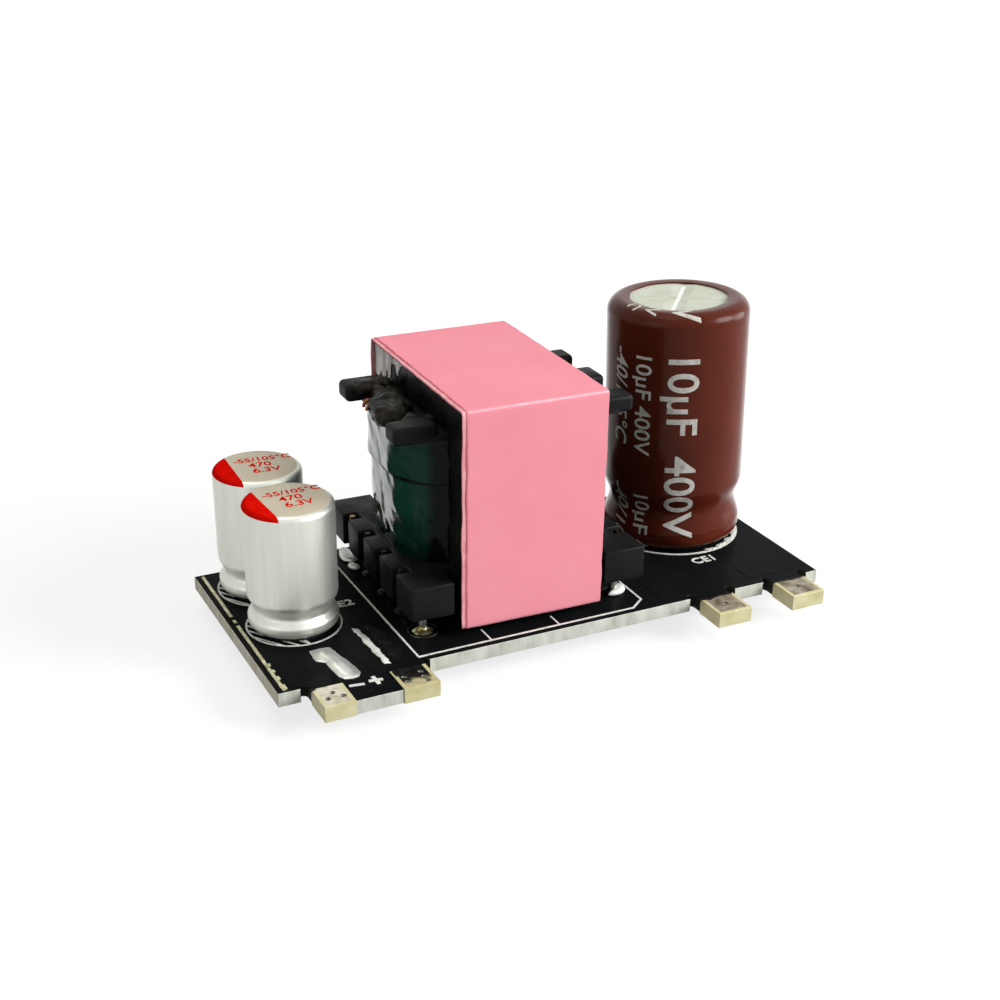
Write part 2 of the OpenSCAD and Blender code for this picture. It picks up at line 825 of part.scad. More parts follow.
module wire(path) {
    n = len(path);
    side = cross(path[1] - path[0], path[n - 1] - path[n - 2]);
    u = side / norm(side);
    rings = [
        for (i = [0 : n - 1])
            let (d = path[min(i + 1, n - 1)] - path[max(i - 1, 0)])
                wire_ring(path[i], d / norm(d), u)
    ];
    points = [for (r = rings) for (p = r) p];
    m = wire_sides;
    faces = concat(
        [[for (k = [0 : m - 1]) m - 1 - k]],
        [[for (k = [0 : m - 1]) (n - 1) * m + k]],
        [
            for (i = [0 : n - 2])
                for (k = [0 : m - 1])
                    [i * m + k, i * m + (k + 1) % m, (i + 1) * m + (k + 1) % m, (i + 1) * m + k]
        ]
    );
    polyhedron(points, faces);
}

wire_x = rail_half_x - slot_depth / 2;

module lead_out(s, slot_y, pin_y) {
    toward = [s * pin_x, pin_y] - [s * wire_x, slot_y];
    reach = norm(toward) - pin_d / 2 - 2 * turn_r;
    way = toward / norm(toward);
    end_z = wrap_z + wrap_h / 2;
    bend = wire_d;
    wire(concat(
        [[s * wire_x, slot_y, low_flange_top]],
        [
            for (a = [0 : 15 : 75])
                [
                    s * wire_x + way[0] * bend * (1 - cos(a)),
                    slot_y + way[1] * bend * (1 - cos(a)),
                    end_z + bend * (1 - sin(a))
                ]
        ],
        [[s * wire_x + way[0] * reach, slot_y + way[1] * reach, end_z]]
    ));
}

module winding_lead_outs() {
    color([0.72, 0.34, 0.14])
        at_transformer()
            for (s = [-1, 1])
                for (i = [0 : pin_count - 2])
                    lead_out(s, slot_rows[i], pin_rows[i]);
}

// Solder
module pin_fillets() {
    color([0.8, 0.8, 0.8])
        on_board()
            for (p = pin_leads)
                translate([p[0], p[1], 0])
                    difference() {
                        cylinder(h = fillet_h, r1 = p[2] / 2 + fillet_foot, r2 = p[2] / 2 + solder_tip);
                        translate([0, 0, -past])
                            cylinder(h = fillet_h + 2 * past, d = p[2]);
                    }
}

module solder_joints() {
    color([0.8, 0.8, 0.8])
        on_board()
            for (p = through_leads)
                translate([p[0], p[1], -board_t - solder_h])
                    difference() {
                        cylinder(h = solder_h, r1 = p[2] / 2 + solder_tip, r2 = p[2] / 2 + solder_foot);
                        translate([0, 0, -past])
                            cylinder(h = solder_h + 2 * past, d = p[2]);
                    }
}

// Underside chips: a drafted body on bent leads, drawn standing on the board's underside
module chip_block(l, w) {
    hull() {
        translate([-l / 2, -w / 2, chip_exit])
            cube([l, w, chip_lead_t]);
        translate([-l / 2 + chip_draft, -w / 2 + chip_draft, chip_lift])
            cube([l - 2 * chip_draft, w - 2 * chip_draft, chip_h - chip_lift]);
    }
}

module bent_lead(w, lead_w) {
    s = w / 2;
    t = chip_lead_t;
    z = chip_exit;
    bend = s + chip_shoulder;
    translate([-lead_w / 2, 0, 0])
        rotate([90, 0, 90])
            linear_extrude(lead_w)
                polygon([
                    [s - chip_root, z],
                    [s - chip_root, z + t],
                    [bend + t, z + t],
                    [bend + t, t],
                    [s + chip_reach, t],
                    [s + chip_reach, 0],
                    [bend, 0],
                    [bend, z]
                ]);
}

module chip_leads(w, pitch, count, lead_w) {
    color([0.8, 0.8, 0.78])
        for (turn = [0, 180])
            rotate([0, 0, turn])
                for (i = [0 : count - 1])
                    translate([(i - (count - 1) / 2) * pitch, 0, 0])
                        bent_lead(w, lead_w);
}

module chip(l, w, pitch, count, lead_w) {
    color([0.07, 0.07, 0.075])
        difference() {
            chip_block(l, w);
            chip_leads(w, pitch, count, lead_w);
        }
}

module bridge_rectifier() {
    under_board(input_cap_x, bridge_inset, 0)
        chip(bridge_l, bridge_w, bridge_pitch, 2, bridge_lead_w);
}

module bridge_rectifier_leads() {
    under_board(input_cap_x, bridge_inset, 0)
        chip_leads(bridge_w, bridge_pitch, 2, bridge_lead_w);
}

module control_chip() {
    under_board(transformer_x, control_y, 0)
        chip(control_l, control_w, control_pitch, 4, control_lead_w);
}

module control_chip_leads() {
    under_board(transformer_x, control_y, 0)
        chip_leads(control_w, control_pitch, 4, control_lead_w);
}

module output_rectifier() {
    under_board(rectifier_x, rectifier_y, 0)
        chip(rectifier_l, control_w, rectifier_pitch, 4, control_lead_w);
}

module output_rectifier_leads() {
    under_board(rectifier_x, rectifier_y, 0)
        chip_leads(control_w, rectifier_pitch, 4, control_lead_w);
}

module clamp_diode() {
    under_board(transformer_x, diode_y, 90)
        chip(diode_w, diode_l, diode_w, 1, diode_lead_w);
}

module clamp_diode_leads() {
    under_board(transformer_x, diode_y, 90)
        chip_leads(diode_l, diode_w, 1, diode_lead_w);
}

// Small chip parts: a ceramic body between two tinned end caps
resistor_places = [for (i = [-1 : 1]) [transformer_x + i * (small_l + small_gap), resistor_y]];
capacitor_places = [for (i = [0 : 1]) [rectifier_x, chip_capacitor_y - i * (small_w + small_gap)]];
small_body_l = small_l - 2 * small_cap;

module small_bodies(places) {
    for (p = places)
        under_board(p[0], p[1], 0)
            translate([-small_body_l / 2, -small_w / 2, 0])
                cube([small_body_l, small_w, small_h]);
}

module chip_resistors() {
    color([0.1, 0.1, 0.11])
        small_bodies(resistor_places);
}

module chip_capacitors() {
    color([0.6, 0.45, 0.32])
        small_bodies(capacitor_places);
}

module chip_end_caps() {
    color([0.83, 0.83, 0.82])
        for (p = concat(resistor_places, capacitor_places))
            under_board(p[0], p[1], 0)
                for (s = [-1, 1])
                    translate([s * (small_body_l + small_cap) / 2, 0, small_h / 2])
                        cube([small_cap, small_w, small_h], center = true);
}

circuit_board();
negative_pad();
positive_pad();
live_pad();
neutral_pad();
tinned_tracks();
front_output_capacitor_can();
front_output_capacitor_bung();
front_output_capacitor_leads();
rear_output_capacitor_can();
rear_output_capacitor_bung();
rear_output_capacitor_leads();
input_capacitor_can();
input_capacitor_sleeve();
input_capacitor_bung();
input_capacitor_leads();
core_lower_half();
core_upper_half();
core_band();
bobbin();
inner_winding();
insulation_tape();
outer_winding();
cover_tape();
for (i = [1 : 2 * pin_count])
    transformer_pin(i - 1);
pin_wraps();
winding_lead_outs();
pin_fillets();
solder_joints();
bridge_rectifier();
bridge_rectifier_leads();
control_chip();
control_chip_leads();
output_rectifier();
output_rectifier_leads();
clamp_diode();
clamp_diode_leads();
chip_resistors();
chip_capacitors();
chip_end_caps();
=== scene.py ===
import bmesh
import bpy
from math import atan2, cos, exp, hypot, pi, radians, sin, sqrt, tanh
from mathutils import Matrix, Vector
from mathutils.noise import noise


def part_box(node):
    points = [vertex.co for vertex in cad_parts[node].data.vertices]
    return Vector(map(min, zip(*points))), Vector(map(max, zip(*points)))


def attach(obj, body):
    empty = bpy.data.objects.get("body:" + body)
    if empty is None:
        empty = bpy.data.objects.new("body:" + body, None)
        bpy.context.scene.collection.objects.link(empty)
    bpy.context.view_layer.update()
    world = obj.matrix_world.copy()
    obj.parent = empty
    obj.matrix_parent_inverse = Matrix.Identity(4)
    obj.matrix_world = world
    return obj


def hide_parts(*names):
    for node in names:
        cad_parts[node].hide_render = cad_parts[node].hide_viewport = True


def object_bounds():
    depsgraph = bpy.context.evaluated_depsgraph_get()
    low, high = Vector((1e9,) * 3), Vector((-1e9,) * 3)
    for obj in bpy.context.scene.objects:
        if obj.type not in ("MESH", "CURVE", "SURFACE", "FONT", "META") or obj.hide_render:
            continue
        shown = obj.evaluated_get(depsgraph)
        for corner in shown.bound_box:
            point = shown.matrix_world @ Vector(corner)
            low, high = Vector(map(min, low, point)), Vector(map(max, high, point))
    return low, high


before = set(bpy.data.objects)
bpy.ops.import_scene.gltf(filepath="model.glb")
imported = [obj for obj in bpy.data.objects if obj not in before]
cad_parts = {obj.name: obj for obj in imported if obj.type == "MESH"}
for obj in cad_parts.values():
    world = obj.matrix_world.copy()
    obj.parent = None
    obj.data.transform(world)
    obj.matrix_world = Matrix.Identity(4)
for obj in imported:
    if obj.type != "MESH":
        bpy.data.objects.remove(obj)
cad_box = [list(corner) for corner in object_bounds()]

# Camera
# It stands in front of the module and to its left, and looks down on the board.
# Its place and lens follow from the board corners, the tabs, the cans and the core edges.
MM = 0.001
eye = Vector((-47.037, -90.029, 53.909)) * MM
heading = radians(25.951)
dip = radians(26.799)
roll = radians(0.4148)
ahead = Vector((sin(heading) * cos(dip), cos(heading) * cos(dip), -sin(dip)))
level = ahead.cross(Vector((0, 0, 1))).normalized()
upright = level.cross(ahead)
across = cos(roll) * level + sin(roll) * upright
upward = cos(roll) * upright - sin(roll) * level
lens = bpy.data.cameras.new("camera")
lens.sensor_width = 36.0
lens.lens = 55.88
lens.shift_x = 0.0230
lens.shift_y = 0.0807
lens.clip_start = 0.005
lens.clip_end = 20.0


def stand(name, data):
    """Puts a camera, a lamp or a mesh into the scene."""
    thing = bpy.data.objects.new(name, data)
    bpy.context.scene.collection.objects.link(thing)
    return thing


camera = stand("camera", lens)
camera.matrix_world = Matrix.Translation(eye) @ Matrix((across, upward, -ahead)).transposed().to_4x4()
bpy.context.scene.camera = camera
bpy.context.scene.view_settings.view_transform = "Standard"

# Studio
# A white table in a white room, with a soft lamp from the front right and weak ones from the right,
# the left and above. The table shows the module's soft shadow and is otherwise as white as the room.
WHITE = (1, 1, 1, 1)
ROOM_LIGHT = 0.24
TABLE_GREY = (0.3, 0.3, 0.3, 1)
TABLE_HALF = 3.0
TABLE_GAP = 0.00002
GLOW_REACH = (0.05, 0.4)
GLOW = (0.77, 1.0)
LAMP_AIM = Vector((0, 0, 0.008))


def add_node(owner, kind, output, sockets, **options):
    """Adds a shader node, sets its options, sets or links its sockets, and gives one of its outputs."""
    node = owner.node_tree.nodes.new("ShaderNode" + kind)
    for option, value in options.items():
        setattr(node, option, value)
    for socket, value in sockets.items():
        if isinstance(value, bpy.types.NodeSocket):
            owner.node_tree.links.new(value, node.inputs[socket])
        else:
            node.inputs[socket].default_value = value
    return node.outputs[output]


def feed(owner, socket, source, node="Principled BSDF"):
    """Leads a value to a socket of a node that is there from the start."""
    owner.node_tree.links.new(source, owner.node_tree.nodes[node].inputs[socket])


def carried(owner, value, start, end, low=0.0, high=1.0):
    """Carries a value from one range to another."""
    ends = {"From Min": start, "From Max": end, "To Min": low, "To Max": high}
    return add_node(owner, "MapRange", "Result", {"Value": value, **ends})


def seen_directly(owner):
    """One where the eye, a polished face or a clear one looks straight at the white, and nought elsewhere."""
    seen = add_node(owner, "LightPath", "Is Camera Ray", {})
    for kind in ("Is Glossy Ray", "Is Transmission Ray"):
        ray = add_node(owner, "LightPath", kind, {})
        seen = add_node(owner, "Math", "Value", {0: seen, 1: ray}, operation="MAXIMUM")
    return seen


room = bpy.data.worlds.new("white_room")
bpy.context.scene.world = room
room.use_nodes = True
room_light = room.node_tree.nodes["Background"]
room_light.inputs["Color"].default_value = WHITE
room_light.inputs["Strength"].default_value = ROOM_LIGHT
room_seen = add_node(room, "Background", "Background", {"Color": WHITE, "Strength": 1.0})
room_choice = {"Fac": seen_directly(room), 1: room_light.outputs["Background"], 2: room_seen}
feed(room, "Surface", add_node(room, "MixShader", "Shader", room_choice), "World Output")

table_shape = bmesh.new()
bmesh.ops.create_grid(table_shape, x_segments=8, y_segments=8, size=TABLE_HALF)
bmesh.ops.translate(table_shape, vec=(0, 0, cad_box[0][2] - TABLE_GAP), verts=table_shape.verts)
table_mesh = bpy.data.meshes.new("table")
table_shape.to_mesh(table_mesh)
table_shape.free()
table = stand("table", table_mesh)
table_top = bpy.data.materials.new("white_table")
table_top.use_nodes = True
table_paint = table_top.node_tree.nodes["Principled BSDF"]
for socket, value in (("Base Color", TABLE_GREY), ("Roughness", 1.0), ("Specular IOR Level", 0.0)):
    table_paint.inputs[socket].default_value = value
table_place = add_node(table_top, "TexCoord", "Object", {})
table_far = add_node(table_top, "VectorMath", "Value", {0: table_place}, operation="LENGTH")
table_level = {0: seen_directly(table_top), 1: carried(table_top, table_far, *GLOW_REACH, *GLOW)}
table_share = add_node(table_top, "Math", "Value", table_level, operation="MULTIPLY")
table_glow = add_node(table_top, "Emission", "Emission", {"Color": WHITE, "Strength": table_share})
table_sum = add_node(table_top, "AddShader", "Shader", {0: table_paint.outputs["BSDF"], 1: table_glow})
feed(table_top, "Surface", table_sum, "Material Output")
table_mesh.materials.append(table_top)

for name, place, size, power, tint in (
    ("front_lamp", (0.262, -0.195, 0.172), 0.2, 1.68, (1, 1, 1)),
    ("right_lamp", (0.34, -0.05, 0.07), 0.16, 0.5, (1, 1, 1)),
    ("left_lamp", (-0.28, -0.1, 0.12), 0.2, 0.1, (1, 1, 1)),
    ("top_lamp", (-0.05, 0.02, 0.34), 0.22, 0.2, (1, 0.98, 0.84)),
):
    lamp = bpy.data.lights.new(name, "AREA")
    lamp.shape = "DISK"
    lamp.size = size
    lamp.energy = power
    lamp.color = tint
    holder = stand(name, lamp)
    holder.location = place
    holder.rotation_euler = (LAMP_AIM - Vector(place)).to_track_quat("-Z", "Y").to_euler()

# Circuit board
# A milled panel of woven glass laminate, one millimetre thick, with black solder mask on both faces.
# Its cut edges stay pale, and the lead holes are plated through. The walls of the routed slots by the tabs
# are painted dark as shade, and the left edge is painted paler as light.
TAB_REACH = 2.9
board_low, board_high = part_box("circuit_board")
board_corner = Vector((board_low.x, board_low.y + TAB_REACH * MM, board_high.z))
ON_BOARD = Matrix.Translation(board_corner) @ Matrix.Scale(MM, 4)
BOARD_T = (board_high.z - board_low.z) / MM
BOARD_L = (board_high.x - board_low.x) / MM
BOARD_W = (board_high.y - board_low.y) / MM - TAB_REACH
SHARP = 0.6
MOST_OF_A_CLOUD = (0.3, 0.7)


def merged(node):
    """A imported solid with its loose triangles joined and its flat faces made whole."""
    shape = bmesh.new()
    shape.from_mesh(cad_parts[node].data)
    bmesh.ops.remove_doubles(shape, verts=shape.verts, dist=1e-7)
    bmesh.ops.dissolve_limit(shape, angle_limit=radians(0.5), verts=shape.verts, edges=shape.edges)
    shape.transform(ON_BOARD.inverted())
    return shape


def rounded(shape, edges, width, segments, clamped):
    """Rounds some edges of a shape."""
    bmesh.ops.bevel(
        shape, geom=edges, offset=width, offset_type="OFFSET", segments=segments, profile=0.5,
        affect="EDGES", clamp_overlap=clamped, material=-1,
    )


def ease(shape, width, shortest=0.0, segments=2):
    """Rounds the sharp edges of a shape that are longer than a given length."""
    sharp = [
        edge for edge in shape.edges
        if len(edge.link_faces) == 2 and edge.calc_face_angle(0) > SHARP and edge.calc_length() > shortest
    ]
    rounded(shape, sharp, width, segments, False)


def cut(shape, place, way, **options):
    """Cuts all faces of a shape along a plane."""
    whole_shape = shape.verts[:] + shape.edges[:] + shape.faces[:]
    bmesh.ops.bisect_plane(shape, geom=whole_shape, dist=1e-6, plane_co=place, plane_no=way, **options)


def settle(shape, name, finishes, stands_for=(), crease=35):
    """Sets a shape that is drawn in millimetres on the board into the module as a finished piece."""
    shape.transform(ON_BOARD)
    mesh = bpy.data.meshes.new(name)
    shape.to_mesh(mesh)
    shape.free()
    if "custom_normal" in mesh.attributes:
        mesh.attributes.remove(mesh.attributes["custom_normal"])
    for look in finishes:
        mesh.materials.append(look)
    mesh.shade_smooth()
    mesh.set_sharp_from_angle(angle=radians(crease))
    piece = stand(name, mesh)
    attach(piece, "root")
    if stands_for:
        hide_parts(*stands_for)
    return piece


def srgb(red, green, blue):
    """A colour as the eye reads it, from 0 to 255, in the linear values of a shader."""
    linear = [((c / 255 + 0.055) / 1.055) ** 2.4 if c > 10 else c / 255 / 12.92 for c in (red, green, blue)]
    return (*linear, 1.0)


def grain(look, size, detail=3.0, stretch=(1, 1, 1), distortion=0.0):
    """A cloudy pattern of a given size in millimetres, fixed to the piece."""
    place = add_node(look, "TexCoord", "Object", {})
    scale = [s / (size * MM) for s in stretch]
    drawn = add_node(look, "Mapping", "Vector", {"Vector": place, "Scale": scale})
    settings = {"Scale": 1.0, "Detail": detail, "Distortion": distortion}
    return add_node(look, "TexNoise", "Fac", {"Vector": drawn, **settings})


def shade(look, pattern, *stops):
    """Lays colours over a pattern, each stop a level and a colour."""
    ramp = add_node(look, "ValToRGB", "Color", {"Fac": pattern})
    ends = ramp.node.color_ramp.elements
    ends[0].position, ends[0].color = stops[0][0], srgb(*stops[0][1])
    ends[1].position, ends[1].color = stops[-1][0], srgb(*stops[-1][1])
    for place, colour in stops[1:-1]:
        ends.new(place).color = srgb(*colour)
    feed(look, "Base Color", ramp)


def finish(name, cloud, *stops, rough, metallic=0.0, gloss=0.5, dents=()):
    """A finish of one colour, or of stops of colour over a cloud.

    A cloud is the size, detail, stretch and distortion of a grain. The roughness is a number, or its two ends
    and the cloud it follows. Each dent is a height in millimetres and its cloud.
    """
    look = bpy.data.materials.new(name)
    look.use_nodes = True
    shader = look.node_tree.nodes["Principled BSDF"].inputs
    shader["Metallic"].default_value = metallic
    shader["Specular IOR Level"].default_value = gloss
    if cloud:
        shade(look, grain(look, *cloud), *stops)
    elif stops:
        shader["Base Color"].default_value = srgb(*stops[0])
    if isinstance(rough, tuple):
        low, high, *polish = rough
        feed(look, "Roughness", carried(look, grain(look, *polish), *MOST_OF_A_CLOUD, low, high))
    else:
        shader["Roughness"].default_value = rough
    for height, *wave in dents:
        bump = {"Distance": height * MM, "Strength": 1.0, "Height": grain(look, *wave)}
        if shader["Normal"].is_linked:
            bump["Normal"] = shader["Normal"].links[0].from_socket
        feed(look, "Normal", add_node(look, "Bump", "Normal", bump))
    return look


mask = finish(
    "black_solder_mask", (6.0,), (0.3, (12, 14, 15)), (0.7, (20, 22, 23)),
    rough=(0.22, 0.36, 2.2), gloss=0.012, dents=[(0.006, 0.5)],
)
WEAVE = (1, 1, 0.4)
# The left edge is a paler copy of the laminate: painted light on that side.
laminate, lit_left_edge = (
    finish(
        name, (0.8, 4.0, WEAVE), (0.3, dark), (0.5, middle), (0.7, light),
        rough=0.85, gloss=0.2, dents=[(0.03, 0.3, 4.0, WEAVE)],
    )
    for name, dark, middle, light in (
        ("cut_glass_laminate", (180, 185, 172), (202, 206, 195), (216, 219, 209)),
        ("left_edge_painted_light", (214, 207, 184), (236, 231, 212), (246, 243, 230)),
    )
)
hole_plating = finish("hole_plating", None, (170, 165, 140), rough=(0.3, 0.5, 0.3), metallic=1.0)
# The walls of the routed slots and of the tab roots are painted dark: painted shade on the laminate.
shaded_routed_slot = finish(
    "routed_slot_painted_shade", (0.4, 4.0), (0.35, (22, 22, 20)), (0.65, (52, 51, 45)), rough=0.7, gloss=0.1,
)
HOLE_MARGIN = 0.75
SLOT_FRONT = 0.02
SLOT_DEEP = 0.72
SLOT_END = BOARD_L - 0.05
ROOT_FRONT = -0.45
LIES_FLAT = 0.9
FACES_SIDE = 0.7
board = merged("circuit_board")
cut(board, (0, ROOT_FRONT, 0), (0, 1, 0))
ease(board, 0.03, shortest=0.5, segments=1)
board.normal_update()
for face in board.faces:
    middle = face.calc_center_median()
    off_left = middle.x > HOLE_MARGIN
    inside = off_left and HOLE_MARGIN < middle.y < BOARD_W - HOLE_MARGIN and middle.x < BOARD_L - HOLE_MARGIN
    in_shaded_slot = off_left and SLOT_FRONT < middle.y < SLOT_DEEP and middle.x < SLOT_END
    at_shaded_root = off_left and ROOT_FRONT < middle.y < SLOT_DEEP and abs(face.normal.x) > FACES_SIDE
    if abs(face.normal.z) > LIES_FLAT:
        face.material_index = 0
    elif inside:
        face.material_index = 2
    # Slot and root walls take the painted shade.
    elif in_shaded_slot or at_shaded_root:
        face.material_index = 3
    # Left-facing edge faces take the painted light.
    elif face.normal.x < -FACES_SIDE:
        face.material_index = 4
    else:
        face.material_index = 1
board_looks = [mask, laminate, hole_plating, shaded_routed_slot, lit_left_edge]
settle(board, "board", board_looks, ["circuit_board"], crease=25)

# Copper under the mask
# Etched copper lies under the black mask and shows only as low flat ridges with soft edges.
# On the top these are the pours of the outputs and inputs, on the underside the tracks to the chips.
COPPER_T = 0.03
POUR_EDGE = 0.02
TENT_R = (0.34, 0.3)
LAP_RISE = 0.001
INPUT_LEAD_R = 0.3
POURS = (
    ((6.25, 5.1), (7.3, 6.9), (9.4, 6.6), (9.5, 0.4), (9.7, -0.3), (6.7, -0.3), (6.45, 1.0), (5.95, 3.2)),
    ((1.0, 4.6), (3.3, 4.4), (3.5, 2.9), (4.0, 2.4), (3.9, -0.2), (2.5, -0.35), (1.0, 0.6)),
    ((29.2, 1.0), (34.2, 1.0), (34.4, 3.2), (31.9, 4.2), (29.2, 4.2)),
    ((36.9, 1.0), (41.0, 1.0), (41.2, 5.4), (38.8, 4.4), (36.9, 3.0)),
)
TENTED_VIAS = ((1.39, 3.46), (3.35, 1.7), (2.38, 1.09), (1.48, 1.05), (29.9, 7.2), (30.6, 3.3), (40.6, 3.9))


def span(node):
    """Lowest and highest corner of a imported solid, in millimetres from the board's front left corner."""
    low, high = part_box(node)
    return (low - board_corner) / MM, (high - board_corner) / MM


def outward(shape):
    """Turns every face of a shape to the outside."""
    bmesh.ops.recalc_face_normals(shape, faces=shape.faces)


def slab(shape, outline, low, high, rounding=0.0, segments=2):
    """Raises a flat outline to a plate and rounds its edges."""
    known = set(shape.faces)
    base = shape.faces.new([shape.verts.new((x, y, low)) for x, y in outline])
    lifted = bmesh.ops.extrude_face_region(shape, geom=[base])["geom"]
    raised = [part for part in lifted if isinstance(part, bmesh.types.BMVert)]
    bmesh.ops.translate(shape, vec=(0, 0, high - low), verts=raised)
    fresh = [face for face in shape.faces if face not in known]
    bmesh.ops.recalc_face_normals(shape, faces=fresh)
    if rounding:
        rounded(shape, list({edge for face in fresh for edge in face.edges}), rounding, segments, True)


def stroke(shape, points, width, low, high, square=False):
    """Lays a flat line of a given width through some points, with round or square ends."""
    half = width / 2
    bend = (-90, 90) if square else range(-90, 91, 15)
    for k, ((x0, y0), (x1, y1)) in enumerate(zip(points, points[1:])):
        heading_of_line = atan2(y1 - y0, x1 - x0)
        outline = []
        for x, y, away in ((x0, y0, pi), (x1, y1, 0.0)):
            for degrees in bend:
                angle = heading_of_line + away + radians(degrees)
                outline.append((x + half * cos(angle), y + half * sin(angle)))
        slab(shape, outline, low, high + LAP_RISE * (k % 2))


def stud(shape, place, foot, top, height, segments):
    """Adds a low round stud with its middle at a place."""
    bmesh.ops.create_cone(
        shape, cap_ends=True, segments=segments, radius1=foot, radius2=top, depth=height,
        matrix=Matrix.Translation(place),
    )


copper = bmesh.new()
for outline in POURS:
    slab(copper, outline, -COPPER_T, COPPER_T, POUR_EDGE, 1)
for x, y in TENTED_VIAS:
    stud(copper, (x, y, COPPER_T / 2), *TENT_R, 2 * COPPER_T, 20)
pin_spots = [sum(span(f"transformer_pin_{i}"), Vector()) / 2 for i in range(1, 11)]
left_pins = [(pin.x, pin.y) for pin in pin_spots[:5]]
right_pins = [(pin.x, pin.y) for pin in pin_spots[5:]]
input_leads_low, input_leads_high = span("input_capacitor_leads")
lead_y = (input_leads_low.y + input_leads_high.y) / 2
under = -BOARD_T
UNDER_TRACKS = (
    (1.5, ((2.95, 8.6), (2.95, 15.0))),
    (1.5, ((5.45, 8.6), (5.45, 15.0))),
    (1.2, ((2.95, 8.6), (3.2, 3.0), (3.2, -0.3))),
    (1.2, ((5.45, 8.6), (7.4, 4.0), (8.8, 1.2), (8.8, -0.3))),
    (1.4, (left_pins[0], left_pins[1], (10.4, 9.2))),
    (1.4, (left_pins[2], left_pins[3], left_pins[4])),
    (0.8, ((16.0, 8.0), (13.6, 8.0), left_pins[1])),
    (0.8, (right_pins[0], (24.4, 4.4), (22.0, 6.2))),
    (1.0, (right_pins[2], (24.2, 10.0))),
    (1.0, (right_pins[3], (23.2, 13.65))),
    (1.2, ((input_leads_low.x + INPUT_LEAD_R, lead_y), (32.4, 8.2), (32.6, 6.6))),
    (1.2, ((input_leads_high.x - INPUT_LEAD_R, lead_y), (38.6, 7.6), (37.0, 6.6))),
    (1.2, ((33.07, -0.3), (33.1, 1.4), (35.1, 2.6))),
    (1.2, ((39.37, -0.3), (39.2, 1.4), (37.9, 2.6))),
)
for width, points in UNDER_TRACKS:
    stroke(copper, points, width, under + COPPER_T, under - COPPER_T)
outward(copper)
settle(copper, "copper_under_mask", [mask], crease=12)

# White print
# Screen-printed legend ink on the mask: the outlines of the transformer and the capacitors,
# plain designators, and the plus and minus of the output.
INK_LOW = -0.02
INK_T = 0.045
INK_W = 0.14
INK_STEP = 0.002
CAN_RING = 3.3
CAN_RING_W = 0.12
INPUT_RING = 5.2
HATCH_GAP = 0.56
HATCH_LINES = range(-1, 6)
HATCH_START = 0.4
HATCH_TURN = radians(-54)
HATCH_CHORD = -0.2
ink = finish(
    "legend_ink", (0.25, 4.0), (0.32, (198, 202, 196)), (0.55, (230, 233, 227)), rough=0.6, gloss=0.2,
)
legend = bmesh.new()
for width, square, rise, points in (
    (INK_W, False, 0.0, ((10.1, 18.2), (10.1, 0.58), (26.74, 0.58), (27.91, 1.48), (28.0, 18.2))),
    (INK_W * 0.8, False, 0.0, ((15.54, 0.66), (15.54, 2.2))),
    (INK_W * 0.8, False, 0.0, ((20.8, 0.66), (20.8, 1.9))),
    (0.24, True, 0.0, ((4.5, -1.0), (5.52, -1.16))),
    (0.28, True, 0.0, ((5.88, -0.96), (6.82, -1.1))),
    (0.28, True, INK_STEP, ((6.32, -0.52), (6.38, -1.54))),
):
    stroke(legend, points, width, INK_LOW, INK_T + rise, square)


def turned(shape, outline, centre, steps=128):
    """Turns a half section round an upright axis."""
    known = set(shape.verts)
    points = [shape.verts.new((centre[0] + r, centre[1], z)) for r, z in outline]
    edges = [shape.edges.new(pair) for pair in zip(points, points[1:])]
    bmesh.ops.spin(
        shape, geom=points + edges, cent=(*centre, 0), axis=(0, 0, 1), angle=2 * pi, steps=steps,
        use_merge=True, use_duplicate=False,
    )
    bmesh.ops.remove_doubles(shape, verts=[v for v in shape.verts if v not in known], dist=1e-5)
    outward(shape)


def ring(shape, centre, radius, width, low, high, steps=96):
    """Turns a flat line round a centre as a whole ring."""
    near, far = radius - width / 2, radius + width / 2
    turned(shape, ((near, low), (far, low), (far, high), (near, high), (near, low)), centre, steps)


front_can_low, front_can_high = span("front_output_capacitor_can")
input_low, input_high = span("input_capacitor_sleeve")
front_middle = (front_can_low + front_can_high) / 2
rear_middle = sum(span("rear_output_capacitor_can"), Vector()) / 2
input_middle = (input_low + input_high) / 2
along = Vector((cos(HATCH_TURN), sin(HATCH_TURN)))
aside = Vector((along.y, -along.x))
for middle in (front_middle, rear_middle):
    ring(legend, middle.xy, CAN_RING, CAN_RING_W, INK_LOW, INK_T)
    chord = middle.x + HATCH_CHORD
    for k in HATCH_LINES:
        off = HATCH_GAP * (k + HATCH_START)
        reach = sqrt(CAN_RING ** 2 - off ** 2)
        back = middle.xy + aside * off - along * reach
        front = middle.xy + aside * off + along * reach
        if front.x > chord:
            front = back.lerp(front, (chord - back.x) / (front.x - back.x))
        stroke(legend, (back, front), INK_W, INK_LOW, INK_T - 2 * INK_STEP, square=True)
    chord_end = middle.y - sqrt(CAN_RING ** 2 - HATCH_CHORD ** 2)
    chord_line = ((chord, middle.y - 2.6), (chord + 0.15, chord_end))
    stroke(legend, chord_line, 0.2, INK_LOW, INK_T - INK_STEP, square=True)
ring(legend, input_middle.xy, INPUT_RING, INK_W * 1.2, INK_LOW, INK_T)
ring(legend, input_middle.xy + Vector((0.09, -0.05)), INPUT_RING, 0.2, INK_LOW, INK_T - 2 * INK_STEP)


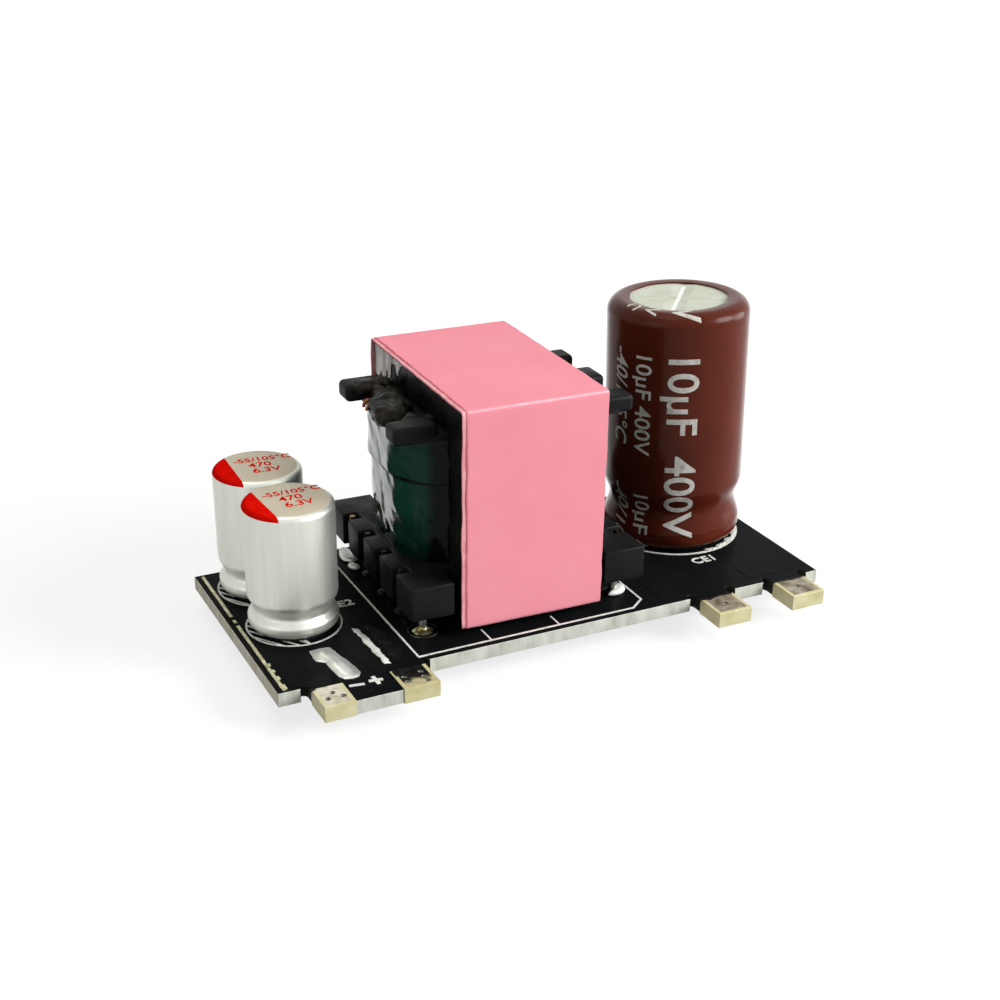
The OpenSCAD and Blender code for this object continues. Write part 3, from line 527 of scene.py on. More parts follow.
def lettering(shape, words, size, place, thickness, weight=0.0, slant=0.0, worked=None):
    """Adds plain lettering as thin solid figures, drawn about its middle, set in place and then worked."""
    figures = bpy.data.curves.new("lettering", "FONT")
    for setting, value in (
        ("body", words), ("size", size), ("align_x", "CENTER"), ("align_y", "CENTER"), ("offset", weight),
        ("shear", slant), ("resolution_u", 4), ("extrude", thickness / 2),
    ):
        setattr(figures, setting, value)
    holder = stand("lettering", figures)
    bpy.context.view_layer.update()
    flat = bpy.data.meshes.new_from_object(holder.evaluated_get(bpy.context.evaluated_depsgraph_get()))
    bpy.data.objects.remove(holder)
    bpy.data.curves.remove(figures)
    flat.transform(place)
    letters = bmesh.new()
    letters.from_mesh(flat)
    bmesh.ops.remove_doubles(letters, verts=letters.verts, dist=1e-5)
    outward(letters)
    if worked:
        worked(letters)
    letters.to_mesh(flat)
    letters.free()
    shape.from_mesh(flat)
    bpy.data.meshes.remove(flat)


UNDERSIDE = Matrix.Diagonal((-1, 1, 1, 1))
for words, x, y, size, turn in (
    ("CE1", 35.6, 5.05, 1.22, 0), ("CE2", 8.05, 9.82, 1.22, 0), ("T1", 29.0, 13.0, 1.3, 90),
):
    place = Matrix.Translation((x, y, 0)) @ Matrix.Rotation(radians(turn), 4, "Z")
    lettering(legend, words, size, place, 2 * INK_T, weight=0.022)
for words, x, y, size in (
    ("N", 39.4, 0.95, 1.3), ("L", 33.1, 0.95, 1.3), ("D1", 35.7, 9.0, 1.2), ("U1", 19.8, 5.2, 1.2),
):
    lettering(legend, words, size, Matrix.Translation((x, y, under)) @ UNDERSIDE, 2 * INK_T, weight=0.03)
settle(legend, "white_print", [ink])

# Tab pads
# Copper folded round the tabs and plated pale gold, with small vias drilled through, whose walls are painted
# dark as shade.
# The middle of each top is worn grey, and flux and soot have run over the roots of the pads.
RIM_W = 0.26
VIA_R = 0.2
PAD_TOP = 0.03
PAD_EDGE = 0.1
PLUG_H = 0.3
STAIN_T = 0.06
SWAY_STEP = 0.12
SWAY_TURNS = 3.1
plating = finish(
    "pale_gold_plating", (1.6, 4.0, (1, 1, 1.5)),
    (0.3, (194, 186, 138)), (0.5, (208, 201, 156)), (0.7, (219, 213, 178)),
    rough=(0.36, 0.5, 0.6), metallic=0.15, gloss=0.3, dents=[(0.012, 0.4)],
)
worn, dulled = (
    finish(
        name, (0.7, 4.0), (0.32, dark), (0.48, middle), (0.7, light),
        rough=(0.28, 0.5, 0.4), metallic=0.3, gloss=0.3, dents=[(0.02, 0.3)],
    )
    for name, dark, middle, light in (
        ("worn_plating", (150, 140, 112), (206, 200, 180), (226, 224, 212)),
        ("dulled_plating", (96, 84, 62), (140, 130, 108), (172, 168, 154)),
    )
)


def climb(look, axis, start, end):
    """Rises from nought to one between two places on an axis of the board, in millimetres."""
    place = add_node(look, "TexCoord", "Object", {})
    part = add_node(look, "SeparateXYZ", axis, {"Vector": place})
    corner = board_corner["XYZ".index(axis)]
    return carried(look, part, corner + start * MM, corner + end * MM)


def blended(look, first, second, share):
    """Adds a share of one pattern to another."""
    return add_node(look, "Math", "Value", {0: second, 1: share, 2: first}, operation="MULTIPLY_ADD")


sooted = finish("sooted_plating", None, rough=(0.24, 0.5, 0.4), metallic=0.2, gloss=0.2, dents=[(0.03, 0.3)])
shade(
    sooted, blended(sooted, climb(sooted, "Y", -2.9, -0.5), grain(sooted, 1.1, 5.0), 0.9),
    (0.62, (196, 188, 148)), (0.74, (112, 104, 80)), (0.86, (34, 32, 27)), (0.98, (20, 19, 17)),
)
# The via walls are painted dark: painted shade inside the holes.
via_wall_painted_shade = finish(
    "via_wall_painted_shade", (0.2,), (0.3, (20, 18, 14)), (0.7, (52, 48, 38)), rough=0.6, metallic=0.3, gloss=0.1,
)
plugs = []
for node, panel_look in (
    ("negative_pad", worn), ("positive_pad", sooted), ("live_pad", dulled), ("neutral_pad", dulled),
):
    pad = merged(node)
    ease(pad, 0.018, shortest=0.45, segments=1)
    pad_low, pad_high = span(node)
    left, right, front = pad_low.x + RIM_W, pad_high.x - RIM_W, pad_low.y + RIM_W
    cut(pad, (left, 0, 0), (1, 0, 0))
    cut(pad, (right, 0, 0), (1, 0, 0))
    cut(pad, (0, front, 0), (0, 1, 0))
    pad.normal_update()
    for face in pad.faces:
        middle = face.calc_center_median()
        inside = left < middle.x < right and middle.y > front
        if inside and face.normal.z > 0.5 and middle.z > pad_high.z - PAD_EDGE:
            face.material_index = 1
        elif inside and abs(face.normal.z) < 0.3 and middle.y < pad_high.y - PAD_EDGE:
            face.material_index = 2
            axis = middle.xy + face.normal.xy * VIA_R
            if all((axis - spot).length > VIA_R for spot in plugs):
                plugs.append(axis)
    settle(pad, node + "_plating", [plating, panel_look, via_wall_painted_shade], [node], crease=25)


def plate(shape, outline, low, high):
    """Raises a flat outline to a plate and finds its top face."""
    known = set(shape.faces)
    slab(shape, outline, low, high)
    fresh = [face for face in shape.faces if face not in known]
    return max(fresh, key=lambda face: face.calc_center_median().z)


def film(shape, outline, thickness, low=0.0, wander=0.03, seed=0.0):
    """Spreads a thin film with a wandering edge."""
    line = []
    for (x0, y0), (x1, y1) in zip(outline, outline[1:] + outline[:1]):
        parts = max(1, round(hypot(x1 - x0, y1 - y0) / SWAY_STEP))
        for k in range(parts):
            spot = Vector((x0 + (x1 - x0) * k / parts, y0 + (y1 - y0) * k / parts, seed))
            sway = noise(spot * SWAY_TURNS), noise(spot * SWAY_TURNS + Vector((7, 3, 1)))
            line.append((spot.x + wander * sway[0], spot.y + wander * sway[1]))
    top = plate(shape, line, low, low + thickness * 0.6)
    bmesh.ops.inset_region(
        shape, faces=[top], thickness=thickness * 0.5, depth=thickness * 0.4, use_even_offset=True,
    )


flux = finish(
    "burnt_flux", (0.5, 4.0), (0.35, (12, 12, 11)), (0.65, (28, 27, 25)),
    rough=0.3, gloss=0.06, dents=[(0.04, 0.4)],
)
root_stains = bmesh.new()
for seed, wander, outline in (
    (1.0, 0.1, ((7.66, -0.4), (9.1, -0.4), (9.0, -0.72), (8.3, -0.85), (7.7, -1.3))),
    (2.0, 0.06, ((1.96, -0.4), (2.4, -0.4), (2.3, -0.66), (1.97, -0.72))),
    (3.0, 0.1, ((31.7, -0.4), (34.4, -0.4), (34.3, -0.6), (33.3, -0.55), (32.4, -0.78), (31.7, -0.62))),
    (4.0, 0.1, ((38.0, -0.4), (40.7, -0.4), (40.6, -0.55), (39.6, -0.62), (38.6, -0.52), (38.0, -0.6))),
):
    film(root_stains, outline, STAIN_T, PAD_TOP, wander, seed)
for spot in plugs:
    stud(root_stains, (*spot, -PLUG_H), VIA_R, VIA_R * 0.9, PLUG_H, 16)
settle(root_stains, "root_flux", [flux], crease=30)

# Tinned tracks
# Copper left free of mask and dipped in solder: a thin track along the left edge that ends in ticks,
# a stepped patch of the negative output and a ragged bar of the positive one, with burnt flux beside it.
edge_tin = finish(
    "edge_track_tin", (0.6, 4.0), (0.3, (158, 152, 112)), (0.62, (214, 209, 174)),
    rough=(0.26, 0.5, 0.5), metallic=0.4,
)
edge_track = bmesh.new()
for left, right, thickness, wander, lengths in (
    (0.42, 0.66, 0.07, 0.03, ((11.3, 18.15), (10.3, 10.75), (4.75, 9.85), (0.25, 4.68))),
    (0.6, 0.8, 0.09, 0.02, ((3.6, 3.95), (2.75, 3.05), (1.7, 2.1), (0.35, 0.95))),
):
    for front, back in lengths:
        outline = ((left, front), (right, front), (right, back), (left, back))
        film(edge_track, outline, thickness, -0.01, wander, front)
settle(edge_track, "edge_track", [edge_tin])
flat_tin = finish(
    "flat_tin", (1.3, 2.0), (0.35, (204, 207, 200)), (0.6, (230, 232, 227)),
    rough=(0.28, 0.42, 1.0), metallic=0.75, gloss=0.3,
)
# The positive bar and the solder runs are real solder painted near white: a painted glint.
glinting_tin = finish(
    "splashed_tin_painted_glint", (0.9,), (0.32, (214, 215, 208)), (0.55, (244, 245, 240)),
    rough=(0.28, 0.44, 0.8), metallic=0.25, gloss=0.3,
)
PATCH = (
    (3.71, 4.3), (4.4, 4.36), (5.15, 4.27), (5.3, 3.5), (5.4, 2.88), (5.6, 2.1), (5.74, 1.1), (5.82, 0.3),
    (5.55, -0.1), (5.05, -0.22), (4.55, -0.1), (4.3, 0.3), (4.2, 1.58), (4.16, 2.4), (3.9, 2.66),
    (3.64, 2.86),
)
BAR = (
    (7.5, 6.1), (7.9, 5.8), (7.94, 5.0), (8.04, 4.2), (8.0, 3.4), (8.12, 2.7), (8.04, 2.0), (8.14, 1.2),
    (8.1, 0.55), (7.66, 0.66), (7.7, 1.4), (7.58, 2.2), (7.62, 3.0), (7.5, 3.8), (7.56, 4.7), (7.46, 5.5),
)
BAR_LEFT = 7.2
SMEAR = (
    (8.3, 6.2), (8.9, 5.9), (9.3, 4.6), (9.1, 3.4), (9.4, 2.2), (9.1, 1.0),
    (8.5, 0.9), (8.4, 2.6), (8.55, 4.0),
)
tinned = bmesh.new()
film(tinned, PATCH, 0.12, wander=0.04, seed=5.0)
film(tinned, BAR, 0.1, wander=0.1, seed=8.0)
outward(tinned)
# The bar takes the painted glint; the stepped patch keeps plain tin.
for face in tinned.faces:
    face.material_index = int(face.calc_center_median().x > BAR_LEFT)
settle(tinned, "tinned_patches", [flat_tin, glinting_tin], ["tinned_tracks"], crease=40)
smears = bmesh.new()
film(smears, SMEAR, STAIN_T, wander=0.22, seed=11.0)
settle(smears, "flux_smear", [flux], crease=30)

# Output capacitors
# Two small polymer capacitors: deep-drawn aluminium cans with a crimped waist above a rolled foot.
# The top is lacquered and printed in red with a polarity segment and the ratings.
CAN_R = (front_can_high.x - front_can_low.x) / 2
CAN_TOP = front_can_high.z
PRINT_CHORD = 1.72
PRINT_FOOT = CAN_TOP - 0.5
STAMP_T = 0.02
SHOULDER_TILT = 0.25
TOP_TILT = 0.95


def can_outline(radius, low, high, foot, shoulder, waist, half, depth, steps=12):
    """Half section of a crimped can, from the middle of its base to the middle of its top."""
    quarter = [pi / 2 * i / steps for i in range(steps + 1)]
    swing = [i / steps - 1 for i in range(2 * steps + 1)]
    base = [(radius - foot + foot * sin(t), low + foot - foot * cos(t)) for t in quarter]
    groove = [(radius - depth * (1 + cos(pi * s)) / 2, low + waist + half[s > 0] * s) for s in swing]
    inner, spring = radius - shoulder, high - shoulder
    top = [(inner + shoulder * cos(t), spring + shoulder * sin(t)) for t in quarter]
    return [(0, low)] + base + groove + top + [(0, high)]


aluminium = finish(
    "satin_can_aluminium", (0.5, 5.0, (1, 1, 0.06)),
    (0.3, (208, 211, 201)), (0.5, (213, 215, 206)), (0.7, (218, 220, 211)),
    rough=(0.42, 0.5, 1.6, 4.0, (1, 1, 0.6)), metallic=0.8, gloss=0.3,
    dents=[(0.002, 0.12, 3.0, (1, 1, 0.05))],
)
top_lacquer = finish(
    "can_top_lacquer", (1.4, 4.0), (0.3, (208, 196, 171)), (0.7, (220, 210, 188)),
    rough=0.42, metallic=0.15, gloss=0.1, dents=[(0.008, 0.2)],
)
red_ink = finish("red_can_ink", (0.9, 4.0), (0.3, (230, 13, 6)), (0.7, (243, 24, 13)), rough=0.42, gloss=0.0)
can_section = can_outline(
    CAN_R, front_can_low.z, CAN_TOP, foot=0.42, shoulder=0.45, waist=1.35, half=(0.62, 1.15), depth=0.4,
)
for side, middle, turn in (("front", front_middle, 3.0), ("rear", rear_middle, -2.0)):
    can = bmesh.new()
    turned(can, can_section, middle.xy)
    across_chord = Matrix.Rotation(radians(turn), 3, "Z") @ Vector((1, 0, 0))
    chord_foot = Vector((middle.x, middle.y, 0)) - PRINT_CHORD * across_chord
    crown = [
        face for face in can.faces
        if face.normal.z > SHOULDER_TILT and face.calc_center_median().z > PRINT_FOOT
    ]
    crown_parts = list({part for face in crown for part in (*face.edges, *face.verts)}) + crown
    bmesh.ops.bisect_plane(can, geom=crown_parts, dist=1e-5, plane_co=chord_foot, plane_no=across_chord)
    for face in can.faces:
        centre = face.calc_center_median()
        if centre.z < PRINT_FOOT:
            continue
        if face.normal.z > SHOULDER_TILT and (centre - chord_foot).dot(across_chord) < 0:
            face.material_index = 2
        elif face.normal.z > TOP_TILT:
            face.material_index = 1
    can_looks = [aluminium, top_lacquer, red_ink]
    settle(can, f"{side}_output_can", can_looks, [f"{side}_output_capacitor_can"], crease=30)
    stamp = bmesh.new()
    on_top = Matrix.Translation((middle.x, middle.y, CAN_TOP)) @ Matrix.Rotation(radians(turn - 3), 4, "Z")
    for words, size, right, back in (
        ("-55/105°C", 0.98, 0.62, 1.12), ("470", 1.1, 0.25, 0.12), ("6.3V", 1.1, 0.5, -0.9),
    ):
        lettering(stamp, words, size, on_top @ Matrix.Translation((right, back, 0)), STAMP_T, weight=0.016)
    settle(stamp, f"{side}_can_print", [red_ink])

# Bungs and leads of the capacitors
# Each can is closed by a black rubber bung, held by the crimped waist.
# Two tinned wires go through it and down into the board.
rubber = finish(
    "bung_rubber", (0.4, 4.0), (0.3, (17, 17, 18)), (0.7, (30, 30, 31)),
    rough=0.75, gloss=0.2, dents=[(0.02, 0.15)],
)
lead_tin = finish("lead_tin", None, (208, 208, 202), rough=(0.2, 0.4, 0.4, 3.0, (1, 1, 0.2)), metallic=1.0)


def dress(look, *nodes):
    """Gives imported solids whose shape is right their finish."""
    for node in nodes:
        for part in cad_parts[node].material_slots:
            part.material = look


for capacitor in ("front_output_capacitor", "rear_output_capacitor", "input_capacitor"):
    dress(rubber, capacitor + "_bung")
    dress(lead_tin, capacitor + "_leads")

# Transformer core
# Two pressed and fired ferrite halves with ground faces, set together round the bobbin.
# The black sides were dipped in varnish, which dried in glossy runs.
ferrite = finish(
    "varnished_ferrite", (1.8, 5.0), (0.35, (8, 8, 7)), (0.6, (14, 14, 13)), (0.78, (24, 22, 20)),
    rough=(0.62, 0.24, 1.5, 4.0, (1, 1, 0.6), 0.6), gloss=0.05,
    dents=[(0.1, 1.1, 3.0, (1, 1, 0.7)), (0.01, 0.12)],
)
for half in ("core_lower_half", "core_upper_half"):
    core = merged(half)
    ease(core, 0.12, shortest=0.5)
    settle(core, half + "_ferrite", [ferrite], [half])

# Bobbin
# One moulding of black phenolic: a tube with two flanges, a slotted rail of pins on each side
# and three lugs a side on the top flange. The whole transformer sits a little askew on the board.
core_low, core_high = span("core_band")
coil = Vector(((core_low.x + core_high.x) / 2, (core_low.y + core_high.y) / 2))
SKEW = radians(-1.8)
TO_COIL = Matrix.Translation((*coil, 0))
TURNED = TO_COIL @ Matrix.Rotation(SKEW, 4, "Z") @ TO_COIL.inverted()
RAIL_IN = 5.7
RAIL_OUT = 8.9
RAIL_HALF = 8.125
RAIL_Z = (1.7, 4.15)
LOW_FLANGE_Z = (3.0, 4.13)
LOW_FLANGE_X = 6.4
FLANGE_Z = (13.37, 13.85)
FLANGE_HALF = 5.525
FLANGE_OUT = 7.8
LUG_Z = (13.35, 14.6)
LUGS = ((-4.575, 0.95, 0.0), (0.0, 1.2, 0.6), (4.575, 0.95, 0.0))
PIN_PITCH = 3.2125
SLOTS = [PIN_PITCH * k for k in (-1.5, -0.5, 0.5, 1.5)]
SLOT_HALF = 0.5
SLOT_DEPTH = 1.1
FOOT_HALF = 0.4
FOOT_Z = (0.0, 2.2)
phenolic = finish(
    "moulded_phenolic", (2.5, 4.0), (0.3, (18, 18, 19)), (0.7, (26, 26, 28)),
    rough=(0.34, 0.54, 1.2), gloss=0.08, dents=[(0.01, 0.18)],
)


def comb(near, far, half, notches, notch_half, depth):
    """Outline of a rail with wire slots cut into its far side, from the middle line."""
    outline = [(near, -half), (far, -half)]
    for y in notches:
        outline += [(far, y - notch_half), (far - depth, y - notch_half)]
        outline += [(far - depth, y + notch_half), (far, y + notch_half)]
    return outline + [(far, half), (near, half)]


def block(near, far, middle, half):
    """Outline of a plain block beside the middle line."""
    return [(near, middle - half), (far, middle - half), (far, middle + half), (near, middle + half)]


bobbin = bmesh.new()
for hand in (-1, 1):
    blocks = [
        (comb(RAIL_IN, RAIL_OUT, RAIL_HALF, SLOTS, SLOT_HALF, SLOT_DEPTH), RAIL_Z, 0.14, 3),
        (block(0.0, FLANGE_OUT, 0.0, FLANGE_HALF), FLANGE_Z, 0.1, 2),
        (block(0.0, LOW_FLANGE_X, 0.0, FLANGE_HALF), LOW_FLANGE_Z, 0.1, 2),
    ]
    for y, half, broken in LUGS:
        blocks.append((block(RAIL_IN, RAIL_OUT - (broken if hand < 0 else 0.0), y, half), LUG_Z, 0.36, 5))
    for y in (SLOTS[0], SLOTS[3]):
        blocks.append((block(RAIL_IN, RAIL_IN + 2 * FOOT_HALF, y, FOOT_HALF), FOOT_Z, 0.08, 2))
    for outline, heights, rounding, segments in blocks:
        slab(bobbin, [(coil.x + hand * x, coil.y + y) for x, y in outline], *heights, rounding, segments)
outward(bobbin)
bobbin.transform(TURNED)
settle(bobbin, "bobbin_moulding", [phenolic], ["bobbin"])

# Windings
# Enamelled copper wound in level layers between the flanges, with thin amber tape between them.
# They are closed in by the cover tape and show only at the flange gaps.
WINDING_SHRINK = 0.955
copper_wire = finish(
    "enamelled_copper", (0.5, 4.0), (0.3, (118, 52, 20)), (0.7, (178, 96, 48)),
    rough=(0.22, 0.4, 0.4, 3.0, (0.2, 0.2, 3)), metallic=0.9, dents=[(0.08, 0.35, 1.0, (0.05, 0.05, 1))],
)
amber = finish("amber_tape", (1.0,), (0.3, (190, 140, 48)), (0.7, (216, 172, 82)), rough=0.3)
dress(copper_wire, "inner_winding")
dress(amber, "insulation_tape")
winding = merged("outer_winding")
for v in winding.verts:
    v.co.xy = coil + (v.co.xy - coil) * WINDING_SHRINK
settle(winding, "outer_winding_wire", [copper_wire], ["outer_winding"])

# Cover tape
# Dark green polyester tape laid round the windings in two lapped strips, drawn tight by hand.
# It is glossy and creased. A dark strip under the upper lap is a painted shadow, and the tape is painted
# darker as shade where it goes into the core and towards its bottom.
TAPE_LOW = 4.17
TAPE_TOP = 13.33
TAPE_HALF_X = 7.9
TAPE_HALF_Y = 5.475
TAPE_CORNER = 4.07
TAPE_T = 0.04
LAP_Z = 10.15
LAP_OVER = 0.35
TUCK_TOP = 8.5
TUCK = 0.3
CREASE_ROUND = 6.0
CREASE_IN = 0.07
FINE_CREASE = 0.45
HEM = 0.8
HEM_CREASE = 0.15
CORE_SHADE_IN = 5.5
CORE_SHADE_OUT = 6.5
BOTTOM_SHADE_TOP = 7.5


def rounded_path(half_a, half_b, radius, step, arc=18):
    """Points along a rectangle with round corners, in even steps."""
    bends = []
    for turn, (a, b) in enumerate(((1, 1), (-1, 1), (-1, -1), (1, -1))):
        for i in range(arc + 1):
            angle = pi / 2 * (turn + i / arc)
            middle = Vector((a * (half_a - radius), b * (half_b - radius)))
            bends.append(middle + radius * Vector((cos(angle), sin(angle))))
    path = []
    for here, there in zip(bends, bends[1:] + bends[:1]):
        parts = max(1, round((there - here).length / step))
        path += [here.lerp(there, k / parts) for k in range(parts)]
    return path


def wound(path, low, high, rows, place):
    """A closed strip of tape, drawn out from a path across its width in even rows."""
    shape = bmesh.new()
    line = [shape.verts.new(place(point, low)) for point in path]
    edges = [shape.edges.new((line[i - 1], line[i])) for i in range(len(line))]
    step = Vector(place(path[0], high)) - Vector(place(path[0], low))
    for _ in range(rows):
        grown = bmesh.ops.extrude_edge_only(shape, edges=edges)["geom"]
        fresh = {part for part in grown if isinstance(part, bmesh.types.BMVert)}
        edges = [part for part in grown if isinstance(part, bmesh.types.BMEdge) and set(part.verts) <= fresh]
        bmesh.ops.translate(shape, vec=step / rows, verts=list(fresh))
    outward(shape)
    return shape


def round_coil(sunk):
    """Puts a path point at a height round the coil, sunk by some depth."""
    def place(point, height):
        spot = coil + point - point.normalized() * sunk
        return (spot.x, spot.y, height)
    return place


def crease(shape, depth, seed):
    """Pulls tape into soft diagonal creases and tucks it in towards the bottom of the two sides."""
    shape.normal_update()
    for v in shape.verts:
        way = atan2(v.co.y - coil.y, v.co.x - coil.x) * CREASE_ROUND
        rise = v.co.z
        fold = noise((way * 0.55 + rise * 0.5, rise * 0.32 - way * 0.15, seed))
        fine = noise((way * 1.5, rise * 1.1 + way * 0.5, seed + 9))
        to_hem = min(rise - TAPE_LOW, TAPE_TOP - rise)
        ends = max(0.0, min(1.0, to_hem / HEM + HEM_CREASE))
        tuck = TUCK * max(0.0, (TUCK_TOP - rise) / (TUCK_TOP - TAPE_LOW)) * abs(v.normal.x)
        v.co += v.normal * (ends * max(-CREASE_IN, depth * (fold + FINE_CREASE * fine)) - tuck)


def glaze(look, start, end, index):
    """Lets a clear coat show only where the surface is seen at a low angle."""
    shader = look.node_tree.nodes["Principled BSDF"].inputs
    shader["Coat Roughness"].default_value = 0.08
    shader["Coat IOR"].default_value = index
    angle = add_node(look, "LayerWeight", "Facing", {"Blend": 0.5})
    feed(look, "Coat Weight", carried(look, angle, start, end))


green = finish(
    "green_cover_tape", None, rough=(0.1, 0.22, 1.4), gloss=0.08, dents=[(0.04, 0.9, 3.0, (1, 1, 0.6), 0.8)],
)
# Painted shade: the tape darkens where it goes into the core on either side and towards its bottom.
left_core_shade = climb(green, "X", coil.x - CORE_SHADE_OUT, coil.x - CORE_SHADE_IN)
right_core_shade = climb(green, "X", coil.x + CORE_SHADE_IN, coil.x + CORE_SHADE_OUT)
tape_shade = blended(green, left_core_shade, right_core_shade, -1.0)
tape_shade = blended(green, tape_shade, climb(green, "Z", BOTTOM_SHADE_TOP, TAPE_LOW), 0.3)
shade(
    green, blended(green, tape_shade, grain(green, 2.0), 0.5),
    (0.16, (24, 74, 61)), (0.36, (15, 56, 45)), (0.66, (9, 30, 24)), (0.86, (5, 11, 9)),
)
glaze(green, 0.46, 0.62, 2.6)
# A dark strip under the upper lap's lower edge is a painted shadow.
lap_shadow = finish("painted_shadow_under_lap", (0.5,), (0.3, (5, 8, 7)), (0.7, (10, 17, 14)), rough=0.3, gloss=0.06)
tape_path = rounded_path(TAPE_HALF_X, TAPE_HALF_Y, TAPE_CORNER, 0.2)
for name, look, low, high, rows, depth, seed, sunk, nodes in (
    ("cover_tape_wrap", green, TAPE_LOW, TAPE_TOP, 44, 0.0, 3.0, 0.15, ["cover_tape"]),
    ("upper_tape_lap", green, LAP_Z, 13.28, 40, 0.13, 14.0, -0.05, []),
    ("lower_tape_lap", green, 4.2, LAP_Z + LAP_OVER, 40, 0.13, 27.0, 0.06, []),
    ("shadow_tape_lap", lap_shadow, LAP_Z - 0.2, LAP_Z + 0.06, 40, 0.13, 27.0, 0.01, []),
):
    strip = wound(tape_path, low, high, rows, round_coil(sunk))
    crease(strip, depth, seed)
    bmesh.ops.solidify(strip, geom=strip.faces[:], thickness=TAPE_T)
    strip.transform(TURNED)
    settle(strip, name, [look], nodes, crease=60)

# Core band
# Pink polyester tape wound twice round the core. The outer turn starts a little inside the left edge,
# so the first turn shows there as a pale border with a painted shade line along the outer turn's edge,
# and the folds at the corners are sharp and rubbed, and painted paler as a highlight.
BAND_HALF_X = 5.3
BAND_HALF_Y = 8.425
BAND_HALF_Z = (core_high.z - core_low.z) / 2
BAND_LEFT = coil.x - BAND_HALF_X
BAND_RIGHT = coil.x + BAND_HALF_X
BAND_ROWS = 90
band_middle = (core_low + core_high) / 2
BORDER = 0.29
UNDER_TUCK = 0.5
FOLD_W = 0.14
BAND_CORNER = 0.26
BAND_RIM = 0.5
RIM_SWAY = 0.05
BAND_SWELL = 0.02
pink = finish(
    "pink_core_tape", (4.0,), (0.3, (246, 152, 166)), (0.7, (248, 158, 171)),
    rough=(0.44, 0.56, 1.0), gloss=0.03, dents=[(0.015, 2.5)],
)
under_pink, shaded_cut_pink, rubbed_highlit_pink = (
    finish(name, cloud, dark, light, rough=0.5, gloss=gloss)
    for name, cloud, dark, light, gloss in (
        ("pink_first_turn", (0.8, 5.0), (0.32, (234, 146, 156)), (0.6, (249, 180, 186)), 0.05),
        ("cut_edge_of_pink_tape_painted_shade", (0.9, 4.0), (0.3, (212, 108, 126)), (0.7, (232, 138, 150)), 0.03),
        ("rubbed_fold_of_pink_tape_painted_highlight", (0.7, 5.0), (0.35, (247, 164, 176)), (0.62, (252, 198, 203)), 0.05),
    )
)


def on_band(sink):
    """Puts a path point on the band at a place across its width."""
    def place(point, across_band):
        return (
            across_band,
            band_middle.y + point.x * (1 - sink / BAND_HALF_Y),
            band_middle.z + point.y * (1 - sink / BAND_HALF_Z),
        )
    return place


band_path = rounded_path(BAND_HALF_Y, BAND_HALF_Z, BAND_CORNER, 0.3, 6)
for name, looks, left, right, sink, seed, thickness, nodes in (
    ("first", [under_pink], BAND_LEFT, BAND_RIGHT - 0.1, 0.045, 2.0, 0.12, []),
    ("second", [pink, shaded_cut_pink, rubbed_highlit_pink], BAND_LEFT + BORDER, BAND_RIGHT, 0.0, 7.0, 0.04, ["core_band"]),
):
    turn = wound(band_path, left, right, BAND_ROWS, on_band(sink))
    for face in turn.faces:
        spot = face.calc_center_median()
        fold_y = BAND_HALF_Y - abs(spot.y - band_middle.y)
        fold_z = BAND_HALF_Z - abs(spot.z - band_middle.z)
        # The outer turn's first row at its left edge takes a painted shade line.
        if name == "second" and spot.x < left + (right - left) / BAND_ROWS:
            face.material_index = 1
        # The folds take a paler colour: rubbed wear and a painted highlight.
        elif name == "second" and max(fold_y, fold_z) < FOLD_W:
            face.material_index = 2
    for v in turn.verts:
        rim = max(0.0, 1 - (v.co.x - left) / BAND_RIM) + max(0.0, 1 - (right - v.co.x) / BAND_RIM)
        v.co.x += RIM_SWAY * rim * noise((v.co.y * 0.9, v.co.z * 0.9, seed))
        if v.co.z < core_low.z + 0.1 and v.co.y > core_low.y + 0.3:
            v.co.x = max(v.co.x, BAND_LEFT + UNDER_TUCK)
    turn.normal_update()
    for v in turn.verts:
        v.co += v.normal * BAND_SWELL * (noise(v.co * 0.35 + Vector((seed, 0, 0))) - 0.6)
    bmesh.ops.solidify(turn, geom=turn.faces[:], thickness=thickness)
    turn.transform(TURNED)
    settle(turn, f"{name}_band_turn", looks, nodes)

# Varnish
# The finished transformer was dipped in clear varnish, which stood in a dark mound on the left flange
# round the wire ends and ran down the upper back of the core in a glossy sheet with drips, whose pale colour
# is a painted reflection.
MOUND_Z = (13.2, 14.75)
MOUND_Y = (7.5, 13.9)
MOUND_X = 11.75
MOUND_SHIFT = 1.15
MOUND_HALF = 1.6
MOUND_TAPER = 0.9
MOUND_FLAT = 2.2
LUMPS = 0.24
LOOP_WIRE_R = 0.12
CORE_LEFT = coil.x - 5.1
DRIP_OUT = 0.07
DRIPS = (
    (18.1, 16.0), (18.1, 13.9), (17.2, 13.75), (16.8, 14.3), (16.3, 13.9), (15.9, 14.0), (15.5, 14.8),
    (15.2, 14.1), (14.9, 14.4), (14.6, 15.5), (13.9, 15.6), (13.6, 14.9), (13.3, 15.0), (13.0, 15.7),
    (12.4, 16.0),
)
varnish = finish(
    "dried_varnish", (0.9, 4.0), (0.35, (19, 18, 14)), (0.55, (36, 34, 28)), (0.75, (66, 62, 50)),
    rough=0.36, gloss=0.06, dents=[(0.08, 0.5)],
)


def on_flange(spot):
    """Stretches a ball into the long flat-topped mound, which narrows to the back."""
    back = (spot.y + 1) / 2
    flat = tanh(MOUND_FLAT * spot.z) / tanh(MOUND_FLAT)
    return (
        MOUND_X + MOUND_SHIFT * back + (MOUND_HALF - MOUND_TAPER * back) * spot.x,
        MOUND_Y[0] + (MOUND_Y[1] - MOUND_Y[0]) * back,
        sum(MOUND_Z) / 2 + (MOUND_Z[1] - MOUND_Z[0]) / 2 * flat * (1 - 0.15 * back),
    )


def beside_coil(x, y, z, half):
    """Stretches a ball into a lump at a place beside the coil."""
    return lambda spot: Vector((coil.x + x, coil.y + y, z)) + spot * Vector(half)


